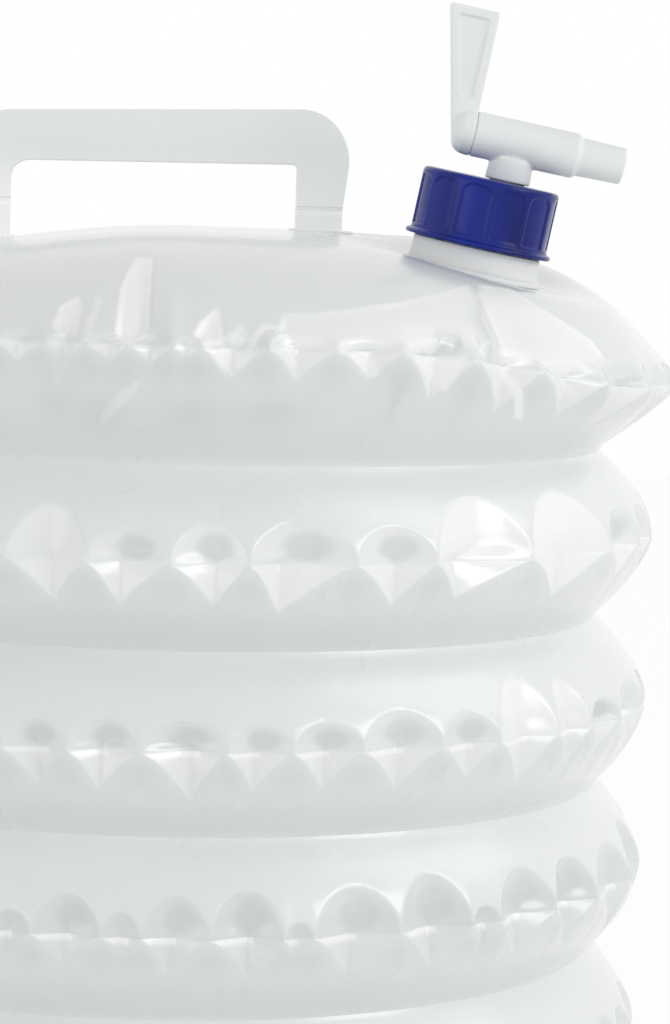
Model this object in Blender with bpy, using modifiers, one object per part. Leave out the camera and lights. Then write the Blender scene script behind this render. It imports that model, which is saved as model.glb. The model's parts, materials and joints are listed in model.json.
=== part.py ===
"""Collapsible water carrier: a bellows bag of welded film, a strap handle, a screw cap and a lever tap.

Metres, +Z up, origin at the middle of the flat base. +X points to the spout's side, -Y to the front.
"""

import math

import bmesh
import bpy
from mathutils import Matrix, Vector

# Fits
GAP = 0.0003                    # left between two pieces that touch
OVERRUN = 0.001                 # how far a cutter goes past what it cuts
SINK = 0.0002                   # how far a shape sinks into the one it is joined to
MERGE = 0.00001                 # points closer than this are one

# Bellows bag
FILM = 0.0004                   # thickness of the film
RING_COUNT = 6
RING_PITCH = 0.048
NECK_RADIUS = 0.1275            # inner welds, between two rings
SEAM_RADIUS = 0.1415            # outer welds, round the middle of each ring
TOP_SEAM_RADIUS = 0.1465        # outer weld of the top ring
TOP_SEAM_RISE = 0.019           # top ring's outer weld above the highest neck
DOME_HEIGHT = 0.041             # top film's crown above its outer weld
BASE_RADIUS = 0.118             # flat part of the bottom film
WELD_LIP = 0.0015               # width of a weld
BULGE_POWER = 1.75
TOP_BULGE_POWER = 1.4
DOME_POWER = 5.5

# Handle
HANDLE_SHIFT = -0.006           # middle of the strap, from the bag's axis
HANDLE_WIDTH = 0.1128
HANDLE_RISE = 0.0278            # strap's top above the hinge line
HANDLE_THICKNESS = 0.0024
HANDLE_LEAN = math.radians(2)   # the bar rises this much towards the spout
BAR_DEPTH = 0.0152
LEG_WIDTH = 0.0152
HANDLE_CORNER = 0.0145
FINGER_CORNER = 0.003
HINGE_THICKNESS = 0.0006        # thinned strip on which the strap bends
HINGE_LAND = 0.0016             # height of that strip, on the foot and on the strap
FOOT_LENGTH = 0.0185
FOOT_WIDTH = 0.014
FOOT_THICKNESS = 0.0012
FOOT_CORNER = 0.004
FOOT_POST = 0.0035              # hinge line above the foot's plate

# Spout on the dome
SPOUT_SHARE = 0.634             # spout's distance from the bag's axis, as a share of the top weld's
SPOUT_TURN = math.radians(-26)  # round the bag's axis, from +X towards the front
SPOUT_LEAN = math.radians(10.5)
LEAN_TURN = math.radians(-9.8)  # where the spout leans to, from +X towards the front
SPOUT_BORE = 0.0139
SPOUT_WALL = 0.0022
FLANGE_RADIUS = 0.0195
FLANGE_THICKNESS = 0.0014
COLLAR_RADIUS = 0.0180
COLLAR_HEIGHT = 0.0080
SEAT_DROP = 0.0109              # film under the spout, below the crown
SEAT_RADIUS = 0.0215            # flat part of the film under the spout
SEAT_FADE = 0.042               # distance at which the film is back in its own shape
THREAD_DEPTH = 0.0009
THREAD_CLEARANCE = 0.0004
THREAD_STARTS = 2
THREAD_LEAD = 0.008
THREAD_TURNS = 0.9

# Screw cap
CAP_HEIGHT = 0.0188
CAP_WALL = 0.0014
CAP_ROOF = 0.0015
CAP_EDGE = 0.0009
CAP_FLANGE_WIDTH = 0.0017       # how far the lower flange stands out
CAP_FLANGE_THICKNESS = 0.0014
CAP_RIB_COUNT = 12
CAP_RIB_HEIGHT = 0.0005
CAP_RIB_WIDTH = 0.0011
GASKET_THICKNESS = 0.0013

# Tap
TAP_OFFSET = 0.0042             # stem's axis from the cap's axis
STEM_RADIUS = 0.0064
STEM_BORE = 0.0030
SPIGOT_RADIUS = 0.0046
SPIGOT_TAIL = 0.0008            # past the lock nut
WASHER_RADIUS = 0.0076
WASHER_THICKNESS = 0.0012
NUT_RADIUS = 0.0079
NUT_HEIGHT = 0.0038
BARREL_RISE = 0.0114            # barrel's axis above the cap
BARREL_RADIUS = 0.0063
BARREL_TAIL = 0.0121            # behind the stem's axis
BARREL_NOSE = 0.0170            # ahead of the stem's axis
NOZZLE_LENGTH = 0.0138
NOZZLE_RADIUS = 0.0054
NOZZLE_TIP_RADIUS = 0.0051
NOZZLE_BORE = 0.0039
STEP_RUN = 0.0006

# Lever and its plug
PLUG_RADIUS = 0.0044
PLUG_NOSE = 0.0090              # ahead of the stem's axis
PLUG_BORE = 0.0023
PLUG_BACK = 0.0045              # blind end of the plug's bore, behind the stem's axis
HUB_LENGTH = 0.0057
HUB_CHAMFER = 0.0026
LEVER_RISE = 0.0340             # lever's tip above the barrel's axis
LEVER_TIP_WIDTH = 0.0142
LEVER_THICKNESS = 0.0036
LEVER_CORNER = 0.0009
LEVER_RIM = 0.0026              # border round the lever's recess
RECESS_DEPTH = 0.0009
RECESS_FOOT = 0.0092            # recess's lower end above the barrel's axis
SEAL_SECTION = 0.0010           # diameter of a seal ring's section
SEAL_REAR = 0.0085              # behind the stem's axis
SEAL_FRONT = 0.0062             # ahead of it

# Fineness
FILM_STEPS = 32
ROUND_STEPS = 32
SMALL_STEPS = 24
SEAL_STEPS = 16
WALL_STEPS = 3
DOME_EDGE_STEPS = 64            # round the top film
DOME_STEPS = 6
FADE_STEPS = 4
ARC_STEPS = 5

# Sizes that follow
TOP_NECK = (RING_COUNT - 1) * RING_PITCH
TOP_SEAM = TOP_NECK + TOP_SEAM_RISE
CROWN = TOP_SEAM + DOME_HEIGHT
DOME_EDGE = TOP_SEAM_RADIUS - WELD_LIP
SPOUT_REACH = TOP_SEAM_RADIUS * SPOUT_SHARE
SEAT_X = SPOUT_REACH * math.cos(SPOUT_TURN)
SEAT_Y = SPOUT_REACH * math.sin(SPOUT_TURN)
SEAT_HEIGHT = CROWN - SEAT_DROP
SPOUT_RADIUS = SPOUT_BORE + SPOUT_WALL
CAP_BORE = SPOUT_RADIUS + THREAD_DEPTH + THREAD_CLEARANCE
CAP_RADIUS = CAP_BORE + CAP_WALL
CAP_BOTTOM = COLLAR_HEIGHT + GAP
CAP_TOP = CAP_BOTTOM + CAP_HEIGHT
ROOF = CAP_TOP - CAP_ROOF
GASKET_TOP = ROOF - GAP
SPOUT_RIM = GASKET_TOP - GASKET_THICKNESS - GAP
WASHER_TOP = ROOF - GAP
NUT_TOP = WASHER_TOP - WASHER_THICKNESS - GAP
SPIGOT_END = NUT_TOP - NUT_HEIGHT - SPIGOT_TAIL
TAP_AXIS = CAP_TOP + BARREL_RISE
NOZZLE_END = BARREL_NOSE + NOZZLE_LENGTH
PLUG_HOLE = PLUG_RADIUS + GAP
HUB_FRONT = -BARREL_TAIL - GAP
HUB_REAR = HUB_FRONT - HUB_LENGTH
FOOT_BOTTOM = CROWN + GAP
HINGE_LINE = FOOT_BOTTOM + FOOT_THICKNESS + FOOT_POST

MILKY_FILM = ((0.80, 0.83, 0.82), 0.22, 0.55)
MILKY_PLASTIC = ((0.82, 0.84, 0.83), 0.42, 1.0)
BLUE_PLASTIC = ((0.012, 0.022, 0.26), 0.18, 1.0)
CLEAR_RUBBER = ((0.62, 0.64, 0.63), 0.6, 1.0)


def clear_scene():
    """Start from an empty scene."""
    for old in list(bpy.data.objects):
        bpy.data.objects.remove(old)


def new_collection(name):
    collection = bpy.data.collections.new(name)
    bpy.context.scene.collection.children.link(collection)
    return collection


def new_material(name, look):
    """A plain plastic, film or rubber: colour, roughness and how solid it looks."""
    colour, roughness, solidity = look
    material = bpy.data.materials.new(name)
    material.use_nodes = True
    shader = material.node_tree.nodes["Principled BSDF"]
    shader.inputs["Base Color"].default_value = (*colour, 1.0)
    shader.inputs["Roughness"].default_value = roughness
    shader.inputs["Metallic"].default_value = 0.0
    shader.inputs["Alpha"].default_value = solidity
    return material


def add_object(name, mesh, parent=None, place=(0, 0, 0), turn=(0, 0, 0), look=None):
    """A finished sub-part when it has a look; otherwise a cutter or a shape to be joined."""
    obj = bpy.data.objects.new(name, mesh)
    obj.parent = parent
    obj.location = place
    obj.rotation_euler = turn
    if look is None:
        CUTTERS.objects.link(obj)
        obj.hide_render = True
        obj.display_type = "WIRE"
    else:
        PARTS.objects.link(obj)
        mesh.materials.append(new_material(name, look))
        mesh.shade_smooth()
        mesh.set_sharp_from_angle(angle=math.radians(35))
    return obj


def add_axis(name, parent=None, place=(0, 0, 0), matrix=None):
    """An empty that carries the pieces placed about one axis."""
    empty = bpy.data.objects.new(name, None)
    CUTTERS.objects.link(empty)
    empty.parent = parent
    empty.location = place
    if matrix is not None:
        empty.matrix_world = matrix
    return empty


def outline_mesh(name, points, closed):
    """A chain of edges in the XZ plane, from (radius, height) pairs."""
    mesh = bpy.data.meshes.new(name)
    edges = [(i, i + 1) for i in range(len(points) - 1)]
    if closed:
        edges.append((len(points) - 1, 0))
    mesh.from_pydata([(radius, 0, height) for radius, height in points], edges, [])
    return mesh


def spin(obj, steps):
    """Turn an outline into a round body about its own Z axis."""
    screw = obj.modifiers.new("spin", "SCREW")
    screw.steps = steps
    screw.render_steps = steps
    screw.use_merge_vertices = True
    screw.merge_threshold = MERGE
    screw.use_smooth_shade = True


def turned(name, points, closed, steps, **placing):
    obj = add_object(name, outline_mesh(name, points, closed), **placing)
    spin(obj, steps)
    return obj


def film(name, points):
    """A sheet of revolution, thickened equally to both sides."""
    thicken(turned(name, points, False, FILM_STEPS, look=MILKY_FILM))


def thicken(obj):
    wall = obj.modifiers.new("wall", "SOLIDIFY")
    wall.thickness = FILM
    wall.offset = 0
    wall.use_even_offset = True


def cylinder(name, radius, low, high, steps, **placing):
    """A closed cylinder about local Z, from low to high."""
    mesh = bpy.data.meshes.new(name)
    shape = bmesh.new()
    middle = Matrix.Translation((0, 0, (low + high) / 2))
    bmesh.ops.create_cone(shape, cap_ends=True, segments=steps, radius1=radius, radius2=radius,
                          depth=high - low, matrix=middle)
    shape.to_mesh(mesh)
    shape.free()
    return add_object(name, mesh, **placing)


def boxes(name, spans, **placing):
    """One object of boxes, each given by its lowest and highest corner and a turn about Z."""
    mesh = bpy.data.meshes.new(name)
    shape = bmesh.new()
    for low, high, turn in spans:
        low, high = Vector(low), Vector(high)
        size = Matrix.Diagonal((*(high - low), 1))
        place = Matrix.Rotation(turn, 4, "Z") @ Matrix.Translation((low + high) / 2) @ size
        bmesh.ops.create_cube(shape, size=1, matrix=place)
    shape.to_mesh(mesh)
    shape.free()
    return add_object(name, mesh, **placing)


def plate(name, outline, thickness, **placing):
    """A flat outline in local XY, thickened equally to both sides."""
    curve = bpy.data.curves.new(name, "CURVE")
    curve.dimensions = "2D"
    curve.fill_mode = "BOTH"
    curve.extrude = thickness / 2
    spline = curve.splines.new("POLY")
    spline.points.add(len(outline) - 1)
    for point, (x, y) in zip(spline.points, outline):
        point.co = (x, y, 0, 1)
    spline.use_cyclic_u = True
    return add_object(name, solid_from_curve(curve), **placing)


def solid_from_curve(curve):
    """The curve's surface as one closed mesh, with its loose caps welded on."""
    holder = bpy.data.objects.new(curve.name, curve)
    CUTTERS.objects.link(holder)
    depsgraph = bpy.context.evaluated_depsgraph_get()
    mesh = bpy.data.meshes.new_from_object(holder.evaluated_get(depsgraph))
    bpy.data.objects.remove(holder)
    shape = bmesh.new()
    shape.from_mesh(mesh)
    bmesh.ops.remove_doubles(shape, verts=shape.verts, dist=MERGE)
    bmesh.ops.recalc_face_normals(shape, faces=shape.faces)
    shape.to_mesh(mesh)
    shape.free()
    return mesh


def combine(obj, other, operation):
    boolean = obj.modifiers.new(other.name, "BOOLEAN")
    boolean.object = other
    boolean.operation = operation
    boolean.solver = "EXACT"


def arc(centre_x, centre_y, radius, start, end):
    """Points of a round corner, angles in quarter turns."""
    points = []
    for step in range(ARC_STEPS + 1):
        angle = math.radians(90) * (start + (end - start) * step / ARC_STEPS)
        points.append((centre_x + radius * math.cos(angle), centre_y + radius * math.sin(angle)))
    return points


def spout_direction():
    """The way the spout's axis points."""
    side = math.sin(SPOUT_LEAN)
    return Vector((side * math.cos(LEAN_TURN), side * math.sin(LEAN_TURN), math.cos(SPOUT_LEAN)))


def dome_height(x, y):
    """Height of the top film's outer face: a dome, pressed flat under the spout."""
    dome = TOP_SEAM + DOME_HEIGHT * (1 - (math.hypot(x, y) / DOME_EDGE) ** DOME_POWER)
    away_x, away_y = x - SEAT_X, y - SEAT_Y
    up = spout_direction()
    seat = SEAT_HEIGHT - (up.x * away_x + up.y * away_y) / up.z
    share = (SEAT_FADE - math.hypot(away_x, away_y)) / (SEAT_FADE - SEAT_RADIUS)
    share = min(max(share, 0), 1)
    share *= share * (3 - 2 * share)
    return dome + (seat - dome) * share


def wall_points(neck, seam, seam_radius, power):
    """Middle of one ring wall, from its weld at the neck to its weld at the outer seam."""
    inset = math.copysign((FILM + GAP) / 2, seam - neck)
    start, end = neck + inset, seam - inset
    points = [(NECK_RADIUS - WELD_LIP, start)]
    for step in range(WALL_STEPS + 1):
        share = step / WALL_STEPS
        bulge = 1 - (1 - share) ** power
        radius = NECK_RADIUS + (seam_radius - WELD_LIP - NECK_RADIUS) * bulge
        points.append((radius, start + (end - start) * share))
    points.append((seam_radius, end))
    return points


def make_rings():
    """Ring walls from the top down: each ring has an upper and a lower film."""
    for ring in range(1, RING_COUNT):
        neck = (RING_COUNT - ring) * RING_PITCH
        top_ring = ring == 1
        seam = TOP_SEAM if top_ring else neck + RING_PITCH / 2
        radius = TOP_SEAM_RADIUS if top_ring else SEAM_RADIUS
        power = TOP_BULGE_POWER if top_ring else BULGE_POWER
        film(f"ring_{ring}_lower_film", wall_points(neck, seam, radius, power))
        below = wall_points(neck, neck - RING_PITCH / 2, SEAM_RADIUS, BULGE_POWER)
        film(f"ring_{ring + 1}_upper_film", below)


def make_bottom_film():
    """Flat base that turns up into the lower half of the last ring."""
    seam = RING_PITCH / 2 - (FILM + GAP) / 2
    points = [(0, FILM / 2), (BASE_RADIUS / 2, FILM / 2)]
    for step in range(WALL_STEPS + 1):
        share = step / WALL_STEPS
        bulge = 1 - (1 - share) ** BULGE_POWER
        radius = BASE_RADIUS + (SEAM_RADIUS - WELD_LIP - BASE_RADIUS) * bulge
        points.append((radius, FILM / 2 + (seam - FILM / 2) * share))
    points.append((SEAM_RADIUS, seam))
    film("bottom_film", points)


def dome_row(turn):
    """Points of the top film from the spout's hole to the outer weld, towards one point of it."""
    seam = TOP_SEAM + (FILM + GAP) / 2
    edge = Vector((DOME_EDGE * math.cos(turn), DOME_EDGE * math.sin(turn)))
    seat = Vector((SEAT_X, SEAT_Y))
    room = (edge - seat).length
    reaches = [SPOUT_BORE, FLANGE_RADIUS]
    for step in range(FADE_STEPS + 1):
        reaches.append(SEAT_RADIUS + (SEAT_FADE - SEAT_RADIUS) * step / FADE_STEPS)
    for step in range(DOME_STEPS):
        share = math.sin(math.radians(90) * (step + 1) / DOME_STEPS)
        reaches.append(SEAT_FADE + (room - SEAT_FADE) * share)
    row = []
    for reach in reaches:
        x, y = seat + (edge - seat) * (reach / room)
        row.append((x, y, max(dome_height(x, y) - FILM / 2, seam)))
    row.append((TOP_SEAM_RADIUS * math.cos(turn), TOP_SEAM_RADIUS * math.sin(turn), seam))
    return row


def make_top_film():
    """Dome over the top ring, with the hole under the spout."""
    rows = [dome_row(math.tau * step / DOME_EDGE_STEPS) for step in range(DOME_EDGE_STEPS)]
    length = len(rows[0])
    points = [point for row in rows for point in row]
    faces = []
    for step in range(DOME_EDGE_STEPS):
        here, there = step * length, (step + 1) % DOME_EDGE_STEPS * length
        for place in range(length - 1):
            faces.append((here + place, here + place + 1, there + place + 1, there + place))
    mesh = bpy.data.meshes.new("top_film")
    mesh.from_pydata(points, [], faces)
    thicken(add_object("top_film", mesh, look=MILKY_FILM))


def strap_outline():
    """The strap seen from the front: x from its middle, y up from the hinge line."""
    half = HANDLE_WIDTH / 2
    inner = half - LEG_WIDTH
    foot = HINGE_THICKNESS / 2 + GAP
    opening = HANDLE_RISE - BAR_DEPTH
    corner = half - HANDLE_CORNER
    finger = inner - FINGER_CORNER
    points = [(-half, foot)]
    points += arc(-corner, HANDLE_RISE - HANDLE_CORNER, HANDLE_CORNER, 2, 1)
    points += arc(corner, HANDLE_RISE - HANDLE_CORNER, HANDLE_CORNER, 1, 0)
    points += [(half, foot), (inner, foot)]
    points += arc(finger, opening - FINGER_CORNER, FINGER_CORNER, 0, 1)
    points += arc(-finger, opening - FINGER_CORNER, FINGER_CORNER, 1, 2)
    points.append((-inner, foot))
    lean = math.tan(HANDLE_LEAN) / HANDLE_RISE
    return [(x, y + (y - foot) * x * lean) for x, y in points]


def make_handle():
    """A strap that stands on two welded feet and bends where both are thinned."""
    axis = add_axis("handle_axis", place=(HANDLE_SHIFT, 0, HINGE_LINE))
    upright = (math.radians(90), 0, 0)
    strap = plate("handle_strap", strap_outline(), HANDLE_THICKNESS, parent=axis, turn=upright,
                  look=MILKY_PLASTIC)
    reach = HANDLE_WIDTH / 2 + OVERRUN
    land = HINGE_THICKNESS / 2 + GAP + HINGE_LAND
    half_hinge = HINGE_THICKNESS / 2
    outside = HANDLE_THICKNESS / 2 + OVERRUN
    thinning = [((-reach, -outside, 0), (reach, -half_hinge, land), 0),
                ((-reach, half_hinge, 0), (reach, outside, land), 0)]
    combine(strap, boxes("handle_thinning", thinning, parent=axis), "DIFFERENCE")
    leg = (HANDLE_WIDTH - LEG_WIDTH) / 2
    for side, place in (("left", -leg), ("right", leg)):
        make_foot(f"handle_foot_{side}", axis, place)


def make_foot(name, axis, place):
    """A rounded plate welded to the dome, with a post that ends in the hinge strip."""
    plate_top = FOOT_THICKNESS + FOOT_BOTTOM - HINGE_LINE
    outline = []
    corner_x, corner_y = FOOT_LENGTH / 2 - FOOT_CORNER, FOOT_WIDTH / 2 - FOOT_CORNER
    for quarter, (x, y) in enumerate(((1, 1), (-1, 1), (-1, -1), (1, -1))):
        outline += arc(x * corner_x, y * corner_y, FOOT_CORNER, quarter, quarter + 1)
    foot = plate(name, outline, FOOT_THICKNESS, parent=axis,
                 place=(place, 0, plate_top - FOOT_THICKNESS / 2), look=MILKY_PLASTIC)
    half_leg, half_post, half_hinge = LEG_WIDTH / 2, HANDLE_THICKNESS / 2, HINGE_THICKNESS / 2
    post = [((-half_leg, -half_post, plate_top - SINK), (half_leg, half_post, -HINGE_LAND), 0)]
    strip = [((-half_leg, -half_hinge, -HINGE_LAND - SINK), (half_leg, half_hinge, 0), 0)]
    for part_name, spans in (("post", post), ("strip", strip)):
        combine(foot, boxes(f"{name}_{part_name}", spans, parent=axis, place=(place, 0, 0)), "UNION")


def spout_matrix():
    """Where the spout stands: Z along its axis, X towards the nozzle."""
    up = spout_direction()
    along = Vector((1, 0, 0))
    along = (along - up * along.dot(up)).normalized()
    across = up.cross(along)
    place = Vector((SEAT_X, SEAT_Y, SEAT_HEIGHT))
    return Matrix.Translation(place) @ Matrix((along, across, up)).transposed().to_4x4()


def thread_ridge(name, start_angle, spout_axis):
    """One start of the thread: a square-section ridge that climbs round the neck."""
    curve = bpy.data.curves.new(name, "CURVE")
    curve.dimensions = "3D"
    curve.bevel_depth = THREAD_DEPTH
    curve.bevel_resolution = 0
    curve.use_fill_caps = True
    spline = curve.splines.new("POLY")
    count = round(ROUND_STEPS * THREAD_TURNS)
    spline.points.add(count)
    first = COLLAR_HEIGHT + 2 * THREAD_DEPTH + GAP
    for step, point in enumerate(spline.points):
        turns = step / ROUND_STEPS
        angle = start_angle + math.tau * turns
        point.co = (SPOUT_RADIUS * math.cos(angle), SPOUT_RADIUS * math.sin(angle),
                    first + THREAD_LEAD * turns, 1)
    return add_object(name, solid_from_curve(curve), parent=spout_axis)


def make_spout(spout_axis):
    """Weld flange, collar and threaded neck in one moulding."""
    points = [(SPOUT_RADIUS, SPOUT_RIM), (SPOUT_RADIUS, COLLAR_HEIGHT), (COLLAR_RADIUS, COLLAR_HEIGHT),
              (COLLAR_RADIUS, GAP + FLANGE_THICKNESS), (FLANGE_RADIUS, GAP + FLANGE_THICKNESS),
              (FLANGE_RADIUS, GAP), (SPOUT_BORE, GAP), (SPOUT_BORE, SPOUT_RIM)]
    spout = turned("spout_neck", points, True, ROUND_STEPS, parent=spout_axis, look=MILKY_PLASTIC)
    for start in range(THREAD_STARTS):
        ridge = thread_ridge(f"thread_start_{start + 1}", math.tau * start / THREAD_STARTS, spout_axis)
        combine(spout, ridge, "UNION")


def make_cap(spout_axis):
    """A cup with a flared foot and twelve ribs, and the tap's hole off its middle."""
    flange = CAP_RADIUS + CAP_FLANGE_WIDTH
    flange_top = CAP_BOTTOM + CAP_FLANGE_THICKNESS
    points = [(0, CAP_TOP), (CAP_RADIUS - CAP_EDGE, CAP_TOP), (CAP_RADIUS, CAP_TOP - CAP_EDGE),
              (CAP_RADIUS, flange_top + CAP_EDGE), (flange - CAP_EDGE, flange_top),
              (flange, CAP_BOTTOM + CAP_EDGE), (flange, CAP_BOTTOM),
              (CAP_BORE, CAP_BOTTOM), (CAP_BORE, ROOF), (0, ROOF)]
    cap = turned("screw_cap", points, False, ROUND_STEPS, parent=spout_axis, look=BLUE_PLASTIC)
    low = (CAP_RADIUS - CAP_WALL / 2, -CAP_RIB_WIDTH / 2, flange_top - SINK)
    high = (CAP_RADIUS + CAP_RIB_HEIGHT, CAP_RIB_WIDTH / 2, CAP_TOP - 2 * CAP_EDGE)
    ribs = [(low, high, math.tau * (rib + 0.5) / CAP_RIB_COUNT) for rib in range(CAP_RIB_COUNT)]
    combine(cap, boxes("cap_ribs", ribs, parent=spout_axis), "UNION")
    hole = cylinder("cap_hole", SPIGOT_RADIUS + GAP, ROOF - OVERRUN, CAP_TOP + OVERRUN, SMALL_STEPS,
                    parent=spout_axis, place=(TAP_OFFSET, 0, 0))
    combine(cap, hole, "DIFFERENCE")
    inner, outer = SPOUT_BORE + GAP, CAP_BORE - GAP
    low, high = GASKET_TOP - GASKET_THICKNESS, GASKET_TOP
    ring = [(outer, high), (outer, low), (inner, low), (inner, high)]
    turned("cap_gasket", ring, True, ROUND_STEPS, parent=spout_axis, look=CLEAR_RUBBER)


def make_tap(spout_axis, lever_axis):
    """Barrel with a stepped nozzle, on a stem that passes through the cap."""
    along = (0, math.radians(90), 0)
    points = [(0, NOZZLE_END), (NOZZLE_TIP_RADIUS, NOZZLE_END), (NOZZLE_RADIUS, BARREL_NOSE + STEP_RUN),
              (BARREL_RADIUS, BARREL_NOSE), (BARREL_RADIUS, -BARREL_TAIL), (0, -BARREL_TAIL)]
    tap = turned("tap_body", points, False, SMALL_STEPS, parent=lever_axis, turn=along,
                 look=MILKY_PLASTIC)
    seat = CAP_TOP + GAP
    stem = [(0, TAP_AXIS), (STEM_RADIUS, TAP_AXIS), (STEM_RADIUS, seat), (SPIGOT_RADIUS, seat),
            (SPIGOT_RADIUS, SPIGOT_END), (0, SPIGOT_END)]
    place = (TAP_OFFSET, 0, 0)
    combine(tap, turned("tap_stem", stem, False, SMALL_STEPS, parent=spout_axis, place=place), "UNION")
    shoulder = PLUG_NOSE + GAP
    waterway = [(0, NOZZLE_END + OVERRUN), (NOZZLE_BORE, NOZZLE_END + OVERRUN), (NOZZLE_BORE, shoulder),
                (PLUG_HOLE, shoulder), (PLUG_HOLE, -BARREL_TAIL - OVERRUN), (0, -BARREL_TAIL - OVERRUN)]
    combine(tap, turned("tap_waterway", waterway, False, SMALL_STEPS, parent=lever_axis, turn=along),
            "DIFFERENCE")
    riser = cylinder("tap_riser", STEM_BORE, SPIGOT_END - OVERRUN, TAP_AXIS, SMALL_STEPS,
                     parent=spout_axis, place=place)
    combine(tap, riser, "DIFFERENCE")
    inner = SPIGOT_RADIUS + GAP
    low = WASHER_TOP - WASHER_THICKNESS
    ring = [(WASHER_RADIUS, WASHER_TOP), (WASHER_RADIUS, low), (inner, low), (inner, WASHER_TOP)]
    turned("tap_washer", ring, True, SMALL_STEPS, parent=spout_axis, place=place, look=CLEAR_RUBBER)
    nut = cylinder("tap_lock_nut", NUT_RADIUS, NUT_TOP - NUT_HEIGHT, NUT_TOP, 6, parent=spout_axis,
                   place=place, look=MILKY_PLASTIC)
    nut_hole = cylinder("nut_hole", inner, NUT_TOP - NUT_HEIGHT - OVERRUN, NUT_TOP + OVERRUN,
                        SMALL_STEPS, parent=spout_axis, place=place)
    combine(nut, nut_hole, "DIFFERENCE")


def make_lever(lever_axis):
    """Lever, hub and hollow plug in one moulding, which turns about the barrel's axis."""
    along = (0, math.radians(90), 0)
    groove_floor = PLUG_RADIUS - SEAL_SECTION - GAP
    half_groove = SEAL_SECTION / 2 + GAP
    points = [(0, PLUG_NOSE), (PLUG_RADIUS, PLUG_NOSE)]
    for middle in (SEAL_FRONT, -SEAL_REAR):
        points += [(PLUG_RADIUS, middle + half_groove), (groove_floor, middle + half_groove),
                   (groove_floor, middle - half_groove), (PLUG_RADIUS, middle - half_groove)]
    points += [(PLUG_RADIUS, HUB_FRONT), (BARREL_RADIUS, HUB_FRONT),
               (BARREL_RADIUS, HUB_REAR + HUB_CHAMFER), (BARREL_RADIUS - HUB_CHAMFER / 2, HUB_REAR),
               (0, HUB_REAR)]
    lever = turned("tap_lever", points, False, SMALL_STEPS, parent=lever_axis, turn=along,
                   look=MILKY_PLASTIC)
    upright = (math.radians(90), 0, 0)
    tip_rear = HUB_FRONT - LEVER_TIP_WIDTH
    hub_low = -BARREL_RADIUS / 2
    corner = LEVER_CORNER
    blade = [(HUB_FRONT, hub_low), *arc(HUB_FRONT - corner, LEVER_RISE - corner, corner, 0, 1),
             *arc(tip_rear + corner, LEVER_RISE - corner, corner, 1, 2), (HUB_REAR + SINK, hub_low)]
    combine(lever, plate("lever_blade", blade, LEVER_THICKNESS, parent=lever_axis, turn=upright), "UNION")
    recess_top = LEVER_RISE - LEVER_RIM
    recess = [(HUB_FRONT - LEVER_RIM, recess_top), (tip_rear + LEVER_RIM, recess_top),
              (HUB_REAR + LEVER_RIM / 2, RECESS_FOOT), (HUB_FRONT - LEVER_RIM, RECESS_FOOT)]
    offset = LEVER_THICKNESS / 2
    for side, place in (("front", -offset), ("back", offset)):
        cutter = plate(f"lever_recess_{side}", recess, 2 * RECESS_DEPTH, parent=lever_axis,
                       place=(0, place, 0), turn=upright)
        combine(lever, cutter, "DIFFERENCE")
    bore = cylinder("plug_bore", PLUG_BORE, -PLUG_BACK, PLUG_NOSE + OVERRUN, SMALL_STEPS,
                    parent=lever_axis, turn=along)
    combine(lever, bore, "DIFFERENCE")
    port = cylinder("plug_port", PLUG_BORE, 0, PLUG_RADIUS + OVERRUN, SMALL_STEPS,
                    parent=lever_axis, turn=upright)
    combine(lever, port, "DIFFERENCE")
    make_seal("plug_seal_front", SEAL_FRONT, lever_axis)
    make_seal("plug_seal_rear", -SEAL_REAR, lever_axis)


def make_seal(name, middle, lever_axis):
    """A round ring that lies in the plug's groove."""
    half = SEAL_SECTION / 2
    ring = [(PLUG_RADIUS - half + half * math.cos(angle), middle + half * math.sin(angle))
            for angle in (math.radians(-60 * corner) for corner in range(6))]
    turned(name, ring, True, SEAL_STEPS, parent=lever_axis, turn=(0, math.radians(90), 0),
           look=CLEAR_RUBBER)


clear_scene()
PARTS = new_collection("collapsible_water_carrier")
CUTTERS = new_collection("cutters")
spout = add_axis("spout_axis", matrix=spout_matrix())
lever = add_axis("lever_axis", parent=spout, place=(TAP_OFFSET, 0, TAP_AXIS))
make_bottom_film()
make_rings()
make_top_film()
make_handle()
make_spout(spout)
make_cap(spout)
make_tap(spout, lever)
make_lever(lever)
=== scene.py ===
# %% [markdown]
# # A collapsible water carrier
#
# The real thing is a bag of thin milky film, welded into six stacked rings so that it folds flat like
# an accordion. A moulded strap stands on top, and a threaded neck with a blue cap and a white lever tap
# sits on the shoulder. Nearly all of its look comes from the film: it is smooth and shiny, and it
# puckers wherever a weld makes the edge shorter than the sheet.
#
# This lesson dresses the working model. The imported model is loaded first, and every new piece is made
# in the same frame, in metres, so a piece goes where the model says.

import json
import math
import random

import bpy
import numpy as np
from mathutils import Matrix, Vector

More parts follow.
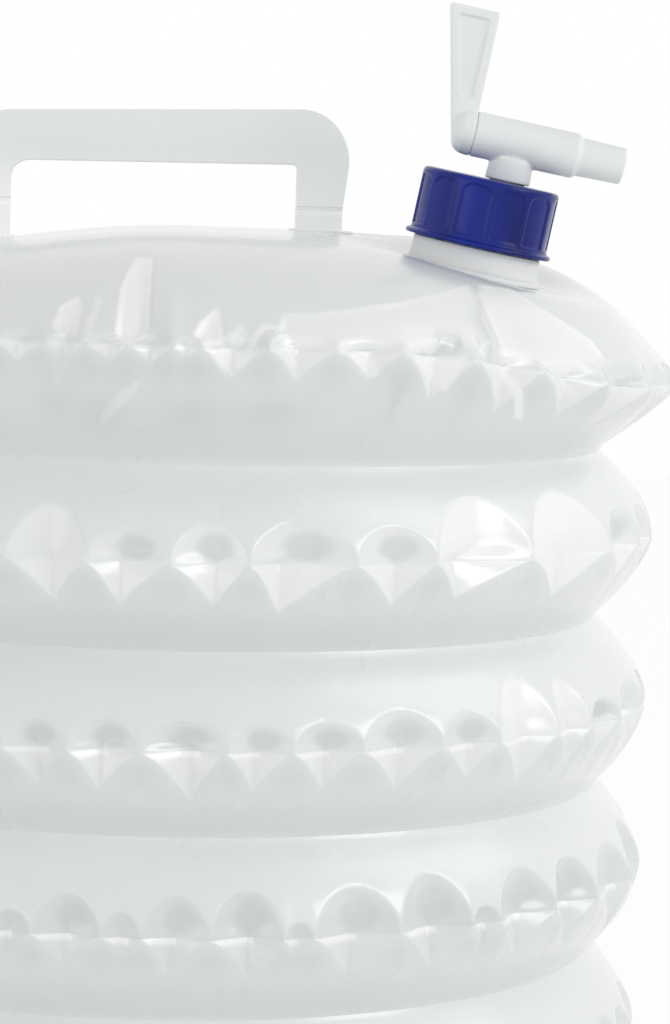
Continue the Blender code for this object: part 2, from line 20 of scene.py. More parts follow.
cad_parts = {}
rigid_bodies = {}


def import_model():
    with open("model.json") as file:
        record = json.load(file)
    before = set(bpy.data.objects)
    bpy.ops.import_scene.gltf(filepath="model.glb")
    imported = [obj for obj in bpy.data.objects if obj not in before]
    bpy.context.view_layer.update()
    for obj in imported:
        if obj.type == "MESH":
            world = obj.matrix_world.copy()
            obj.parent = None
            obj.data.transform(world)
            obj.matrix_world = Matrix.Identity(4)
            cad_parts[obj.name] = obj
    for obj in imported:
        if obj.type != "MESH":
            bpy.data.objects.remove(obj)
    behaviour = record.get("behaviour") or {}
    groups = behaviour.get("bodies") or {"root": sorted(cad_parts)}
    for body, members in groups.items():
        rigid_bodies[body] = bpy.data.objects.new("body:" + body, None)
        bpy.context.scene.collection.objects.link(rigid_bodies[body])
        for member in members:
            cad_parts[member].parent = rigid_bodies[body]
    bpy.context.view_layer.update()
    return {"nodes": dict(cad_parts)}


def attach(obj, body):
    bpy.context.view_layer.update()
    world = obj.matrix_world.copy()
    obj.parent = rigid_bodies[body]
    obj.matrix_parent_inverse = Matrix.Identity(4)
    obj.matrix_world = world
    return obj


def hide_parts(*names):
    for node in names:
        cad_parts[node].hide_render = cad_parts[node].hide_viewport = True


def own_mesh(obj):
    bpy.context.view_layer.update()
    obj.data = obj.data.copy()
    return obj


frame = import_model()

# %% [markdown]
# ## Camera
#
# The neck folds give the camera away. A fold in front lies lower in the picture than the same fold at
# the side, and how much lower tells how near the camera stood. Here that is one metre from the bag's
# axis, a little above its crown, with a long lens that is turned two degrees.

# %% Set up the camera
CAMERA_DISTANCE = 1.0145
CAMERA_HEIGHT = 0.3104
CAMERA_YAW = math.radians(2.81)
CAMERA_PITCH = math.radians(5.22)
CAMERA_ROLL = math.radians(2.0)
LENS = 122.5

bpy.ops.object.select_all(action="DESELECT")
bpy.ops.object.camera_add(location=(0, -CAMERA_DISTANCE, CAMERA_HEIGHT))
camera = bpy.context.object
level = Vector((math.sin(CAMERA_YAW), math.cos(CAMERA_YAW), 0))
sideways = Vector((math.cos(CAMERA_YAW), -math.sin(CAMERA_YAW), 0))
upright = Vector((0, 0, 1))
ahead = level * math.cos(CAMERA_PITCH) - upright * math.sin(CAMERA_PITCH)
above = upright * math.cos(CAMERA_PITCH) + level * math.sin(CAMERA_PITCH)
right = sideways * math.cos(CAMERA_ROLL) + above * math.sin(CAMERA_ROLL)
over = above * math.cos(CAMERA_ROLL) - sideways * math.sin(CAMERA_ROLL)
turn = Matrix((right, over, -ahead)).transposed()
camera.matrix_world = Matrix.Translation(camera.location) @ turn.to_4x4()
camera.data.lens = LENS
camera.data.sensor_width = 36
camera.data.clip_start = 0.01
bpy.context.scene.camera = camera
print("camera looks along", [round(value, 3) for value in ahead])

# %% [markdown]
# ## Tools for modelling
#
# A few small helpers save repeating the same clicks. One clears the selection, because the loaded
# model is left selected and every operator acts on all that is selected. One turns a list of radii and
# heights into a round body: it starts from a circle, then extrudes the rim and scales it, again and
# again, as you would by hand. One puts a finished piece in its place and then applies that place, so
# that the object itself stays at the origin.

# %% Helpers for editing
MERGE = 0.000001
FACING = 0.9


def start_clean():
    """Object mode, and nothing selected."""
    if bpy.context.mode != "OBJECT":
        bpy.ops.object.mode_set(mode="OBJECT")
    bpy.ops.object.select_all(action="DESELECT")


def select_only(piece):
    start_clean()
    piece.select_set(True)
    bpy.context.view_layer.objects.active = piece


def name_piece(name):
    piece = bpy.context.object
    piece.name = name
    piece.data.name = name
    return piece


def apply_place(piece, place=None):
    """Put the piece at a place and move that place into its mesh."""
    if place is not None:
        piece.matrix_world = place
    select_only(piece)
    bpy.ops.object.transform_apply(location=True, rotation=True, scale=True)


def apply_modifiers(piece):
    select_only(piece)
    for modifier in list(piece.modifiers):
        bpy.ops.object.modifier_apply(modifier=modifier.name)


def point_outwards(piece):
    """Merge doubles, then turn every face outwards."""
    select_only(piece)
    bpy.ops.object.mode_set(mode="EDIT")
    bpy.ops.mesh.select_all(action="SELECT")
    bpy.ops.mesh.remove_doubles(threshold=MERGE)
    bpy.ops.mesh.normals_make_consistent(inside=False)
    bpy.ops.object.mode_set(mode="OBJECT")


def shade(piece, angle=40):
    select_only(piece)
    bpy.ops.object.shade_smooth_by_angle(angle=math.radians(angle))


# %% Helper that turns a profile into a round body
def turned(name, profile, steps):
    """A circle whose rim is extruded and scaled through a list of (radius, height)."""
    start_clean()
    radius, height = profile[0]
    bpy.ops.mesh.primitive_circle_add(vertices=steps, radius=radius, location=(0, 0, height))
    piece = name_piece(name)
    bpy.ops.object.mode_set(mode="EDIT")
    bpy.ops.mesh.select_mode(type="VERT")
    bpy.ops.mesh.select_all(action="SELECT")
    for next_radius, next_height in profile[1:]:
        rise = {"value": (0, 0, next_height - height)}
        bpy.ops.mesh.extrude_region_move(TRANSFORM_OT_translate=rise)
        scale = next_radius / radius
        bpy.ops.transform.resize(value=(scale, scale, 1), center_override=(0, 0, next_height))
        radius, height = next_radius, next_height
    bpy.ops.object.mode_set(mode="OBJECT")
    apply_place(piece)
    return piece


# %% Helpers that read and write points
def points_of(piece):
    """All points of a mesh as an array of x, y, z."""
    values = np.empty(len(piece.data.vertices) * 3)
    piece.data.vertices.foreach_get("co", values)
    return values.reshape(-1, 3)


def move_points(piece, points):
    piece.data.vertices.foreach_set("co", points.ravel())
    piece.data.update()


# %% Helpers that pick faces and edges
def pick_faces(piece, wanted):
    """Leave edit mode, select the faces for which wanted(face) is true, and go back in face mode."""
    bpy.ops.object.mode_set(mode="EDIT")
    bpy.ops.mesh.select_mode(type="FACE")
    bpy.ops.mesh.select_all(action="DESELECT")
    bpy.ops.object.mode_set(mode="OBJECT")
    for face in piece.data.polygons:
        face.select = wanted(face)
    bpy.ops.object.mode_set(mode="EDIT")


def pick_edges(piece, wanted):
    """Leave edit mode, select the edges for which wanted(start, end) is true, and go back in."""
    bpy.ops.object.mode_set(mode="EDIT")
    bpy.ops.mesh.select_mode(type="EDGE")
    bpy.ops.mesh.select_all(action="DESELECT")
    bpy.ops.object.mode_set(mode="OBJECT")
    points = piece.data.vertices
    for edge in piece.data.edges:
        start, end = points[edge.vertices[0]].co, points[edge.vertices[1]].co
        edge.select = wanted(start, end)
    bpy.ops.object.mode_set(mode="EDIT")


def block(name, low, high):
    """A cube between two corners, with its size applied."""
    start_clean()
    low, high = Vector(low), Vector(high)
    bpy.ops.mesh.primitive_cube_add(size=1, location=(low + high) / 2, scale=high - low)
    piece = name_piece(name)
    apply_place(piece)
    return piece


# %% [markdown]
# ## The size of the bag
#
# These are the sizes of the working model, so that the film lies where its solid lies. The necks are
# the inner welds, where one ring ends and the next begins, and the seams are the outer welds round the
# middle of each ring. A real bag is never quite even, so each neck has a radius of its own.

# %% Sizes of the bag
FILM = 0.0004
GAP = 0.0003
RING_COUNT = 6
RING_PITCH = 0.048
TOP_NECK = 0.240
TOP_SEAM = 0.259
SEAM_RADIUS = 0.1415
TOP_SEAM_RADIUS = 0.1465
DOME_HEIGHT = 0.041
DOME_POWER = 5.5
BASE_RADIUS = 0.118
NECK_RADII = {1: 0.1258, 2: 0.1263, 3: 0.1286, 4: 0.1284, 5: 0.1276}


def neck_height(neck):
    return TOP_NECK - (neck - 1) * RING_PITCH


def seam_height(ring):
    return TOP_SEAM if ring == 1 else neck_height(ring) + RING_PITCH / 2


for ring in range(1, RING_COUNT + 1):
    print("ring", ring, "seam at", round(seam_height(ring), 4))

# %% [markdown]
# ## Puckers
#
# Two flat sheets are welded at their rim and then blown up. The rim has to get shorter, so the film
# folds into dents all the way round. Each dent is an eye that straddles the weld. Its upper half is a
# round bowl, and its lower half is a tooth that narrows to a point. Both have crisp edges, because
# thin film creases where it turns. At the weld itself the two halves share one crease, which settles
# into the round bowl a little higher up. Between two teeth the wall below makes a round arch.
#
# On the side that the camera sees, the angles of the ridges between the dents and of the teeth's
# points are given, and so is the height of a few dents that reach far up. The rest of the way
# round they are drawn at random, with a fixed seed, so the bag is the same every time.

# %% Where the ridges and the points of the teeth lie
# For each ring, degrees from the front towards the right.
FRONT_RIDGES = {
    1: (-17.4, -12.3, -8.3, -4.2, 0.2, 3.1, 9.7, 16.8, 24.0, 32.7, 41.9, 52.4, 63.0, 74.0),
    2: (-25.0, -16.2, -7.8, 0.7, 8.9, 20.4, 29.9, 43.6, 59.4, 70.5),
    3: (-25.0, -16.4, -9.3, -1.8, 7.1, 14.1, 21.9, 31.6, 39.5, 49.0, 56.1, 63.7),
    4: (-17.3, -12.7, -5.3, -1.2, 6.0, 13.7, 17.0, 27.0, 36.2, 40.1, 49.8, 58.8),
}
FRONT_POINTS = {
    1: (-15.3, -10.6, -5.7, -1.8, 6.4, 13.0, 20.7, 28.6, 38.0, 47.9),
    2: (-11.3, -4.4, 5.5, 12.4, 25.4, 33.3, 49.5, 64.6),
    3: (-12.1, -5.9, 3.7, 10.2, 17.8, 26.6, 35.7, 44.3, 53.1, 58.7),
    4: (-15.2, -9.1, 1.9, 10.2, 21.5, 31.7, 44.4, 53.9),
}
NARROWEST, WIDEST = 6.5, 12.5
# How high the dents reach: each ring as a whole, then, for a few tall dents named by their ring and left
# ridge, the height and the painted highlight in the bowl.
UP_SCALE = {1: 0.9, 2: 1.2, 3: 1.0, 4: 1.4}
OTHER_UP_SCALE = 1.2
TALL_DENTS = {(2, -16.2): (0.0135, 0.3), (2, 29.9): (0.0160, 0.6), (2, 43.6): (0.0165, 0.6),
              (3, 39.5): (0.0155, 0.6), (3, 49.0): (0.0140, 0.5)}


def ridges_of(ring):
    """Angles of all ridges of one seam, the last one a full turn after the first."""
    draw = random.Random(100 + ring)
    given = FRONT_RIDGES.get(ring, (0.0,))
    ridges = list(given)
    end = ridges[0] + 360
    while ridges[-1] < end:
        ridges.append(ridges[-1] + draw.uniform(NARROWEST, WIDEST))
    spare = ridges[-1] - end
    drawn = len(ridges) - len(given)
    for place in range(drawn):
        ridges[len(given) + place] -= spare * (place + 1) / drawn
    return ridges


for ring in range(1, RING_COUNT + 1):
    print("ring", ring, "has", len(ridges_of(ring)) - 1, "dents")

# %% The dents between the ridges
SHALLOW_DENT, DEEP_DENT = 0.0034, 0.0052
LOW_BOWL, HIGH_BOWL = 0.0070, 0.0095
SHORT_TOOTH, LONG_TOOTH = 0.0085, 0.0120
USUAL_WIDTH = 8
GREATEST_SHARE = 1.1
POINT_MARGIN = 0.25


def dents_of(ring):
    """(left, right, point, depth, reach up, reach down) of each dent, with angles in degrees."""
    draw = random.Random(200 + ring)
    ridges = ridges_of(ring)
    dents = []
    for left, right_side in zip(ridges, ridges[1:]):
        width = right_side - left
        inside = [point for point in FRONT_POINTS.get(ring, ()) if left < point < right_side]
        point = inside[0] if inside else left + width * draw.uniform(0.3, 0.7)
        point = min(max(point, left + POINT_MARGIN * width), right_side - POINT_MARGIN * width)
        share = min(width / USUAL_WIDTH, GREATEST_SHARE)
        depth = draw.uniform(SHALLOW_DENT, DEEP_DENT) * share
        up = draw.uniform(LOW_BOWL, HIGH_BOWL) * share * UP_SCALE.get(ring, OTHER_UP_SCALE)
        up = TALL_DENTS.get((ring, left), (up, 0))[0]
        down = draw.uniform(SHORT_TOOTH, LONG_TOOTH) * share
        dents.append((left, right_side, point, depth, up, down))
    return dents


print("deepest dent of ring 2:", round(max(dent[3] for dent in dents_of(2)) * 1000, 1), "mm")

# %% Helpers for angles and slopes
def near(angle, middle):
    """The angles, shifted by full turns until they lie within half a turn of the middle."""
    return middle + (angle - middle + 180) % 360 - 180


def apart(angle, middle):
    """How many degrees each angle lies from the middle, the short way round."""
    return np.abs(near(angle, middle) - middle)


LEAST_RUN = 0.01


def tent(angle, left, peak, right_side):
    """1 at the peak, with straight slopes to 0 at the sides and on below 0 outside them."""
    rise = (angle - left) / np.maximum(peak - left, LEAST_RUN)
    fall = (right_side - angle) / np.maximum(right_side - peak, LEAST_RUN)
    return np.minimum(rise, fall)


def smooth(value):
    """0 below 0, 1 above 1, and a soft step between."""
    value = np.clip(value, 0, 1)
    return value * value * (3 - 2 * value)


# %% How deep the film is pressed in
TOOTH_TAPER = 0.75
SIDE_POWER = 0.85
END_POWER = 0.9
SETTLED_AT = 0.35
LEAST_OPENING = 0.01


def tooth_outline(turn_at, away, dent):
    """The part of a dent below the weld: its tent, its share of the reach, and how narrow it is there."""
    left, right_side, point, deepest, up, down = dent
    reach = np.clip(-away / down, 0, 1)
    narrow = reach ** TOOTH_TAPER
    shape = tent(turn_at, left + (point - left) * narrow, point, right_side + (point - right_side) * narrow)
    return shape, reach, narrow


def dent_depth(ring, angle, away):
    """How far each point is pressed in: angle in degrees, away in metres above the weld."""
    depth = np.zeros_like(angle)
    for dent in dents_of(ring):
        left, right_side, point, deepest, up, down = dent
        middle, half = (left + right_side) / 2, (right_side - left) / 2
        turn_at = near(angle, middle)
        reach = np.clip(away / up, 0, 1)
        opening = half * np.sqrt(1 - reach ** 2)
        settled = smooth(reach / SETTLED_AT)
        peak = point + (middle - point) * settled
        creased = np.clip(tent(turn_at, middle - opening, peak, middle + opening), 0, 1) ** SIDE_POWER
        rounded = np.clip(1 - ((turn_at - middle) / np.maximum(opening, LEAST_OPENING)) ** 2, 0, 1)
        bowl = (creased + (rounded - creased) * settled) * (1 - reach ** 2) ** END_POWER
        shape, tooth_reach, narrow = tooth_outline(turn_at, away, dent)
        tooth = np.clip(shape, 0, 1) ** SIDE_POWER * (1 - tooth_reach) ** END_POWER
        depth = np.maximum(depth, deepest * np.where(away > 0, bowl, tooth))
    return depth


# %% How far the ridges stand out
RIDGE_SWELL = 0.0013
NOSE_ABOVE, NOSE_BELOW = 0.014, 0.010
NOSE_SHARE = 0.34
NOSE_MARGIN = 1.2


def ridge_swell(ring, angle, away):
    """How far the film stands out along the ridges: a nose that ends soon below the weld."""
    draw = random.Random(400 + ring)
    swell = np.zeros_like(angle)
    for left, right_side, point, deepest, up, down in dents_of(ring):
        height = draw.uniform(0.5, 1.0)
        width = NOSE_SHARE * (right_side - left) + NOSE_MARGIN
        across = apart(angle, left) / width
        along = np.where(away > 0, 1 - away / NOSE_ABOVE, 1 + away / NOSE_BELOW)
        swell = np.maximum(swell, height * np.clip(1 - across, 0, 1) * np.clip(along, 0, 1))
    return RIDGE_SWELL * swell


# %% [markdown]
# ## Painted light and shade on the film
#
# Milky film looks white where light falls through it or glances off it, and greyer where it is turned
# away or lies doubled. A dent shows that at once: most have a grey disc of shade in the bowl and a white
# tooth of light below it, and both end at a crisp line. These are painted into the film's colour, so each
# point of the film keeps three values. One is soft painted light and shade for the film in all, one is
# the painted light and shade inside a dent, and the third says how many millimetres inside the dent's
# outline the point lies, which lets the material draw a sharp edge. A value above 0 is a painted
# highlight, and one below 0 is painted shade.

# %% Where light and shade are painted on the film
# Painted light per ring: above 0 a painted highlight, below 0 painted shade; the disc in a bowl is painted
# shade.
TOOTH_PAINTED_LIGHT = {1: 0.45, 2: 0.6, 3: 0.35, 4: -0.3}
BOWL_PAINTED_LIGHT = {1: 0.0, 2: 0.3, 3: 0.05, 4: -0.35}
DISC_PAINTED_SHADE = {1: 0.0, 2: 0.7, 3: 0.6, 4: 0.35}
OTHER_TOOTH_LIGHT, OTHER_BOWL_LIGHT, OTHER_DISC_SHADE = 0.3, 0.05, 0.6
SHADE_DISC_PLACE = (0.15, 0.42)
SHADE_DISC_HALF = (0.62, 0.44)
SHADE_DISC_EDGE = 2.2
NARROW_DENT = 5
# A bar of painted highlight just below the weld, on the teeth from the third ring down.
HIGHLIGHT_BAR_DROP, HIGHLIGHT_BAR_HALF, HIGHLIGHT_BAR_FULL, HIGHLIGHT_BAR_BEYOND = 0.0008, 0.0009, 1.4, 0.2
SHADOW_DROP, SHADOW_HEIGHT, SHADOW_WIDTH, SHADOW_TONE = 0.0055, 0.004, 2.0, 0.3
# A band of painted highlight on the upper walls at the right, above the bowls.
BAND_HIGHLIGHT, BAND_SIDES, BAND_SIDE_FADE = 0.2, (8, 70), 14
BAND_LOW, BAND_LOW_FADE, BAND_HIGH, BAND_HIGH_FADE = 0.003, 0.005, 0.021, 0.006
MILLIMETRE = 0.001
FAR_OUTSIDE = -5.0


def ring_painted_light(ring, angle, away):
    """Painted soft shade, painted light and shade in the dents, and millimetres inside their outline, for
    one ring.
    """
    soft = np.zeros_like(angle)
    inner = np.zeros_like(angle)
    edge = np.full_like(angle, FAR_OUTSIDE)
    draw = random.Random(500 + ring)
    for dent in dents_of(ring):
        left, right_side, point, deepest, up, down = dent
        given = point in FRONT_POINTS.get(ring, ())
        strength = 1 if given else draw.uniform(0.1, 0.8)
        middle, half = (left + right_side) / 2, (right_side - left) / 2
        half_long = math.radians(half) * SEAM_RADIUS
        turn_at = near(angle, middle)
        shape, reach, narrow = tooth_outline(turn_at, away, dent)
        below = np.where(reach < 1, shape * half_long * (1 - narrow), FAR_OUTSIDE * MILLIMETRE)
        sideways = (turn_at - middle) / half
        above = (1 - np.hypot(sideways, away / up)) * min(half_long, up)
        inside = np.where(away > 0, above, below) / MILLIMETRE
        # a grey disc of painted shade in each wider bowl
        from_disc = np.hypot((sideways - SHADE_DISC_PLACE[0]) / SHADE_DISC_HALF[0],
                             (away / up - SHADE_DISC_PLACE[1]) / SHADE_DISC_HALF[1])
        disc = smooth(SHADE_DISC_EDGE * (1 - from_disc))
        # a bar of painted highlight just below the weld, which whitens the teeth from the third ring down
        bar = np.clip(HIGHLIGHT_BAR_FULL - np.abs(away + HIGHLIGHT_BAR_DROP) / HIGHLIGHT_BAR_HALF, 0, 1)
        bar *= turn_at < point + HIGHLIGHT_BAR_BEYOND * half
        bowl_light = BOWL_PAINTED_LIGHT.get(ring, OTHER_BOWL_LIGHT)
        if (ring, left) in TALL_DENTS:
            bowl_light = TALL_DENTS[ring, left][1]
        elif right_side - left > NARROW_DENT:
            bowl_light = bowl_light - strength * DISC_PAINTED_SHADE.get(ring, OTHER_DISC_SHADE) * disc
        tooth_light = np.maximum(TOOTH_PAINTED_LIGHT.get(ring, OTHER_TOOTH_LIGHT), bar * (ring > 2))
        inner = np.where(inside > edge, np.where(away > 0, bowl_light, tooth_light), inner)
        edge = np.maximum(edge, inside)
        aside = np.exp(-(apart(angle, left) / SHADOW_WIDTH) ** 2)
        soft -= SHADOW_TONE * aside * np.exp(-((away + SHADOW_DROP) / SHADOW_HEIGHT) ** 2)
    # a band of painted highlight on the upper walls to the right, above the bowls
    if ring > 1:
        band = smooth((angle - BAND_SIDES[0]) / BAND_SIDE_FADE)
        band *= smooth((BAND_SIDES[1] - angle) / BAND_SIDE_FADE)
        band *= smooth((away - BAND_LOW) / BAND_LOW_FADE) * smooth((BAND_HIGH - away) / BAND_HIGH_FADE)
        soft += BAND_HIGHLIGHT * band
    return soft, inner, edge


def paint(piece, tones):
    """Keep the three values of painted light and shade of each point on the piece, for its material to
    read.
    """
    for name, value in zip(("soft_painted_light", "dent_painted_light", "outline"), tones):
        kept = piece.data.attributes.new(name, "FLOAT", "POINT")
        kept.data.foreach_set("value", np.asarray(value, dtype=np.float32))


# %% [markdown]
# ## Folds below the teeth
#
# The creases don't end with the teeth. Fine upright folds run on from their points and from the ridges
# down the wall and fade before they reach the neck.

# %% Folds that run on from the points of the teeth
FOLD_DEPTH = 0.0005
THIN_FOLD, THICK_FOLD = 1.0, 2.2
MOST_LEAN = 2
FOLD_START, FOLD_FADE = 0.25, 0.7
FOLD_LEAST, FOLD_PER_RING = 0.5, 0.17


def fold_depth(ring, angle, share_down):
    """Narrow upright folds under a weld, which fade from the teeth to the neck."""
    draw = random.Random(300 + ring)
    depth = np.zeros_like(angle)
    for left, right_side, point, deepest, up, down in dents_of(ring):
        for middle in (point, left, left + draw.uniform(2, 6)):
            width = draw.uniform(THIN_FOLD, THICK_FOLD)
            lean = draw.uniform(-MOST_LEAN, MOST_LEAN)
            strength = draw.uniform(0.2, 1.0) * (FOLD_LEAST + FOLD_PER_RING * ring)
            across = apart(angle, middle + lean * share_down) / width
            along = np.clip(share_down / FOLD_START, 0, 1) * np.clip((1 - share_down) / FOLD_FADE, 0, 1)
            depth = np.maximum(depth, strength * along * np.clip(1 - across, 0, 1))
    return FOLD_DEPTH * depth


# %% [markdown]
# ## One sheet of film
#
# Every film is a copy of one flat ring-shaped sheet, made once: a circle, extruded outwards step by
# step. Its points sit closer together near the outer weld, where the puckers need them. Each copy is
# then laid into its own place by moving its points: how far a point is across the sheet says how far
# it is from the neck to the seam. Round the bag the points are crowded towards the side that shows most.
# Once laid, a sheet gets its thickness on the inside, so the faces that show meet exactly at a weld.

# %% Make the flat sheets
WALL_STEPS, WALL_ROWS, WALL_CROWDING = 900, 34, 1.35
DOME_STEPS, DOME_ROWS, DOME_CROWDING = 720, 66, 1


def sheet_profile(rows, crowding):
    """Radii from 1 to 2, which lie closer together towards the outer weld."""
    return [(2 - (1 - row / rows) ** crowding, 0) for row in range(rows + 1)]


wall_sheet = turned("wall_sheet", sheet_profile(WALL_ROWS, WALL_CROWDING), WALL_STEPS)
dome_sheet = turned("dome_sheet", sheet_profile(DOME_ROWS, DOME_CROWDING), DOME_STEPS)
for sheet in (wall_sheet, dome_sheet):
    point_outwards(sheet)
    print(sheet.name, "has", len(sheet.data.vertices), "points")

# %% Helpers that lay a sheet in place
CROWDED_AT = 27
CROWDING = 0.36
WAVE_HEIGHT = 0.0006
WAVE_COUNTS = (2, 3, 5, 8, 13)
WAVE_TWIST = 40
INSIDE_POINT = np.array((0, 0, TOP_NECK / 2))


def copy_sheet(sheet, name):
    """A copy of a flat sheet, with the share and the angle of each of its points."""
    start_clean()
    mesh = sheet.data.copy()
    piece = bpy.data.objects.new(name, mesh)
    mesh.name = name
    bpy.context.scene.collection.objects.link(piece)
    points = points_of(piece)
    share = np.round(np.hypot(points[:, 0], points[:, 1]) - 1, 6)
    angle = np.degrees(np.arctan2(points[:, 0], -points[:, 1]))
    angle -= np.degrees(CROWDING * np.sin(np.radians(angle - CROWDED_AT)))
    return piece, share, angle


def unevenness(angle, height, seed):
    """Slow waves round the bag, in metres, from a few sines with fixed phases."""
    draw = random.Random(seed)
    wave = np.zeros_like(angle)
    for count in WAVE_COUNTS:
        phase = draw.uniform(0, 360)
        wave += np.sin(np.radians(count * angle + phase) + height * WAVE_TWIST) * WAVE_HEIGHT / count ** 0.5
    return wave


def thicken(piece):
    """Face a sheet outwards and give it its thickness on the inside."""
    faces = piece.data.polygons
    centres, normals = np.empty(len(faces) * 3), np.empty(len(faces) * 3)
    faces.foreach_get("center", centres)
    faces.foreach_get("normal", normals)
    outwards = (centres.reshape(-1, 3) - INSIDE_POINT) * normals.reshape(-1, 3)
    if outwards.sum() < 0:
        piece.data.flip_normals()
    wall = piece.modifiers.new("wall", "SOLIDIFY")
    wall.thickness = FILM
    wall.offset = -1
    apply_modifiers(piece)
    shade(piece, 60)


def lay(piece, radius, angle, height):
    """Move a sheet's points to their radius, angle and height."""
    turn_to = np.radians(angle)
    move_points(piece, np.stack([radius * np.sin(turn_to), -radius * np.cos(turn_to), height], 1))


# %% [markdown]
# ## Patches on the top ring
#
# The top ring is fuller than the others and its film lies in larger, flatter facets: leaves that run up
# the dome, a long field of painted highlight under the spout, creases where two facets meet. They follow
# no rule, so each is laid one by one as an outline, with a depth and a painted highlight or painted
# shade, the way one would mark them on the sheet.
# A patch is deepest at its foot and runs out towards its head. Round the back, a few leaves of the same
# kind keep the ring from looking empty.

# %% Patches that are laid one by one on the top ring
# For each patch: tone of painted light (above 0 a painted highlight, below 0 painted shade), depth in
# millimetres, and outline as (degrees, millimetres above the weld).
PATCHES = (
    (1.0, 2.0, ((-5.8, 26.4), (-4.8, 47.5), (-2.4, 45.0), (-2.0, 7.4), (-2.6, 3.0), (-4.6, -1.0),
                (-5.6, 2.7))),
    (0.8, 1.6, ((-12.0, 17.1), (-10.0, 22.7), (-9.2, 15.8), (-9.2, 2.1), (-10.8, 1.5), (-12.0, 6.9))),
    (0.15, 0.9, ((-11.8, -0.6), (-9.2, -0.4), (-9.8, -5.4), (-11.6, -11.6), (-12.2, -7.5))),
    (0.45, -0.9, ((-8.2, 25.2), (-7.2, 20.2), (-8.0, 0.4), (-8.8, 0.6))),
    (0.9, 1.8, ((5.2, 19.5), (5.5, 2.5), (5.8, -7.2), (4.6, -4.2), (2.2, 4.9), (3.0, 11.1))),
    (0.6, 1.2, ((6.0, 5.4), (7.2, 11.5), (7.9, 6.4), (6.6, -1.8), (6.0, -5.4))),
    (0.9, -0.6, ((7.6, -0.6), (8.4, 6.0), (9.4, 11.0), (10.8, 10.6), (11.8, 4.0), (12.9, -3.7),
                 (12.2, -3.7), (11.2, 2.6), (10.4, 8.2), (9.9, 8.4), (9.1, 4.6), (8.3, -0.6))),
    (0.5, 0.6, ((10.9, 7.9), (11.8, 16.2), (15.8, 16.5), (26.6, 23.8), (40.4, 37.1), (37.6, 26.0),
                (35.4, 16.2), (34.6, 3.2), (32.6, 2.3), (31.6, 9.8), (29.8, 9.8), (27.8, 2.1),
                (24.0, 0.8), (17.6, 0.7), (12.9, -0.4), (11.8, 3.1))),
    (0.9, 1.2, ((17.0, -0.1), (21.0, 0.4), (21.8, -6.2), (20.8, -6.9), (19.2, -3.3))),
    (0.85, 1.2, ((24.4, 1.2), (32.0, 2.1), (31.2, -2.5), (30.0, -9.0), (27.8, -5.8), (25.6, -2.5))),
    (-0.5, 0.8, ((28.6, 3.3), (29.4, 7.4), (30.6, 9.4), (32.0, 9.4), (31.4, 3.3))),
    (-0.4, -0.7, ((41.4, 37.4), (36.0, 18.4), (35.2, 3.0), (36.0, 3.0), (36.8, 18.4), (41.9, 37.4))),
    (1.0, -0.3, ((35.2, 3.0), (36.8, 3.0), (43.1, -12.9), (41.4, -12.9))),
    (0.75, 0.9, ((41.9, 37.6), (48.0, 37.0), (49.5, 28.0), (52.6, 20.5), (55.4, 15.6), (55.8, 9.0),
                 (54.0, 5.0), (47.0, 4.0), (42.4, 2.6), (37.0, 1.6), (37.4, 10.0), (38.2, 20.0),
                 (39.4, 30.0))),
    (0.9, 0.9, ((44.2, 2.7), (53.6, 4.5), (46.6, 0.6), (49.6, -4.4), (48.6, -4.4))),
    (0.4, 0.5, ((-2.4, -7.3), (-3.4, -12.6), (-7.0, -21.7), (-7.4, -19.0), (-5.2, -12.0))),
    (-0.7, 0.5, ((55.0, 2.6), (60.0, 4.6), (65.2, 4.0), (60.0, 3.4))),
)
# The leaves round the back: tone of painted light, depth, both ends of the foot, then right shoulder,
# tip, left shoulder.
LEAF_FOOT = 8.0
BACK_LEAVES = (
    (0.8, 1.6, 95.0, 100.0, (100.0, 26.0), (98.0, 35.0), (95.6, 24.0)),
    (0.6, 1.4, 118.0, 124.0, (124.0, 22.0), (120.0, 32.0), (118.4, 24.0)),
    (0.8, 1.6, 150.0, 156.0, (155.0, 30.0), (152.0, 38.0), (150.6, 28.0)),
    (0.5, 1.2, 176.0, 183.0, (182.0, 24.0), (179.0, 34.0), (176.6, 24.0)),
    (0.8, 1.6, 196.0, 201.0, (200.0, 26.0), (198.0, 32.0), (196.4, 22.0)),
    (0.6, 1.6, 231.0, 237.0, (236.0, 28.0), (233.0, 38.0), (231.6, 28.0)),
    (0.8, 1.4, 268.0, 274.0, (273.0, 24.0), (270.0, 32.0), (268.6, 22.0)),
    (0.6, 1.6, 302.0, 307.0, (306.0, 26.0), (304.0, 35.0), (302.4, 24.0)),
)
for tone, depth, left, right_side, *head in BACK_LEAVES:
    PATCHES += ((tone, depth, ((left, LEAF_FOOT), (right_side, LEAF_FOOT), *head)),)
# Soft painted shades, and one painted highlight: degrees, millimetres above the weld, half width and
# half height, tone.
PAINTED_SHADES = ((-7.2, -17.5, 2.6, 5.0, -0.4), (2.6, -17.0, 3.4, 4.5, -0.35), (11.0, -16.5, 3.6, 4.5, -0.4),
          (-11.8, -15.0, 2.0, 5.0, -0.3), (24.6, -12.0, 1.0, 7.0, -0.35), (33.0, -12.0, 2.0, 6.0, -0.2),
          (43.0, 14.0, 2.6, 7.0, -0.3), (-1.0, 10.0, 1.2, 12.0, -0.3), (0.8, 12.0, 0.7, 14.0, 0.25),
          (9.4, 2.0, 1.6, 5.0, -0.35))
PATCH_EDGE = 2.2
PATCH_TILT = 0.8
FAR_AWAY = 99.0
NEVER_ZERO = 1e-9
print("patches:", len(PATCHES), "and shades:", len(PAINTED_SHADES))

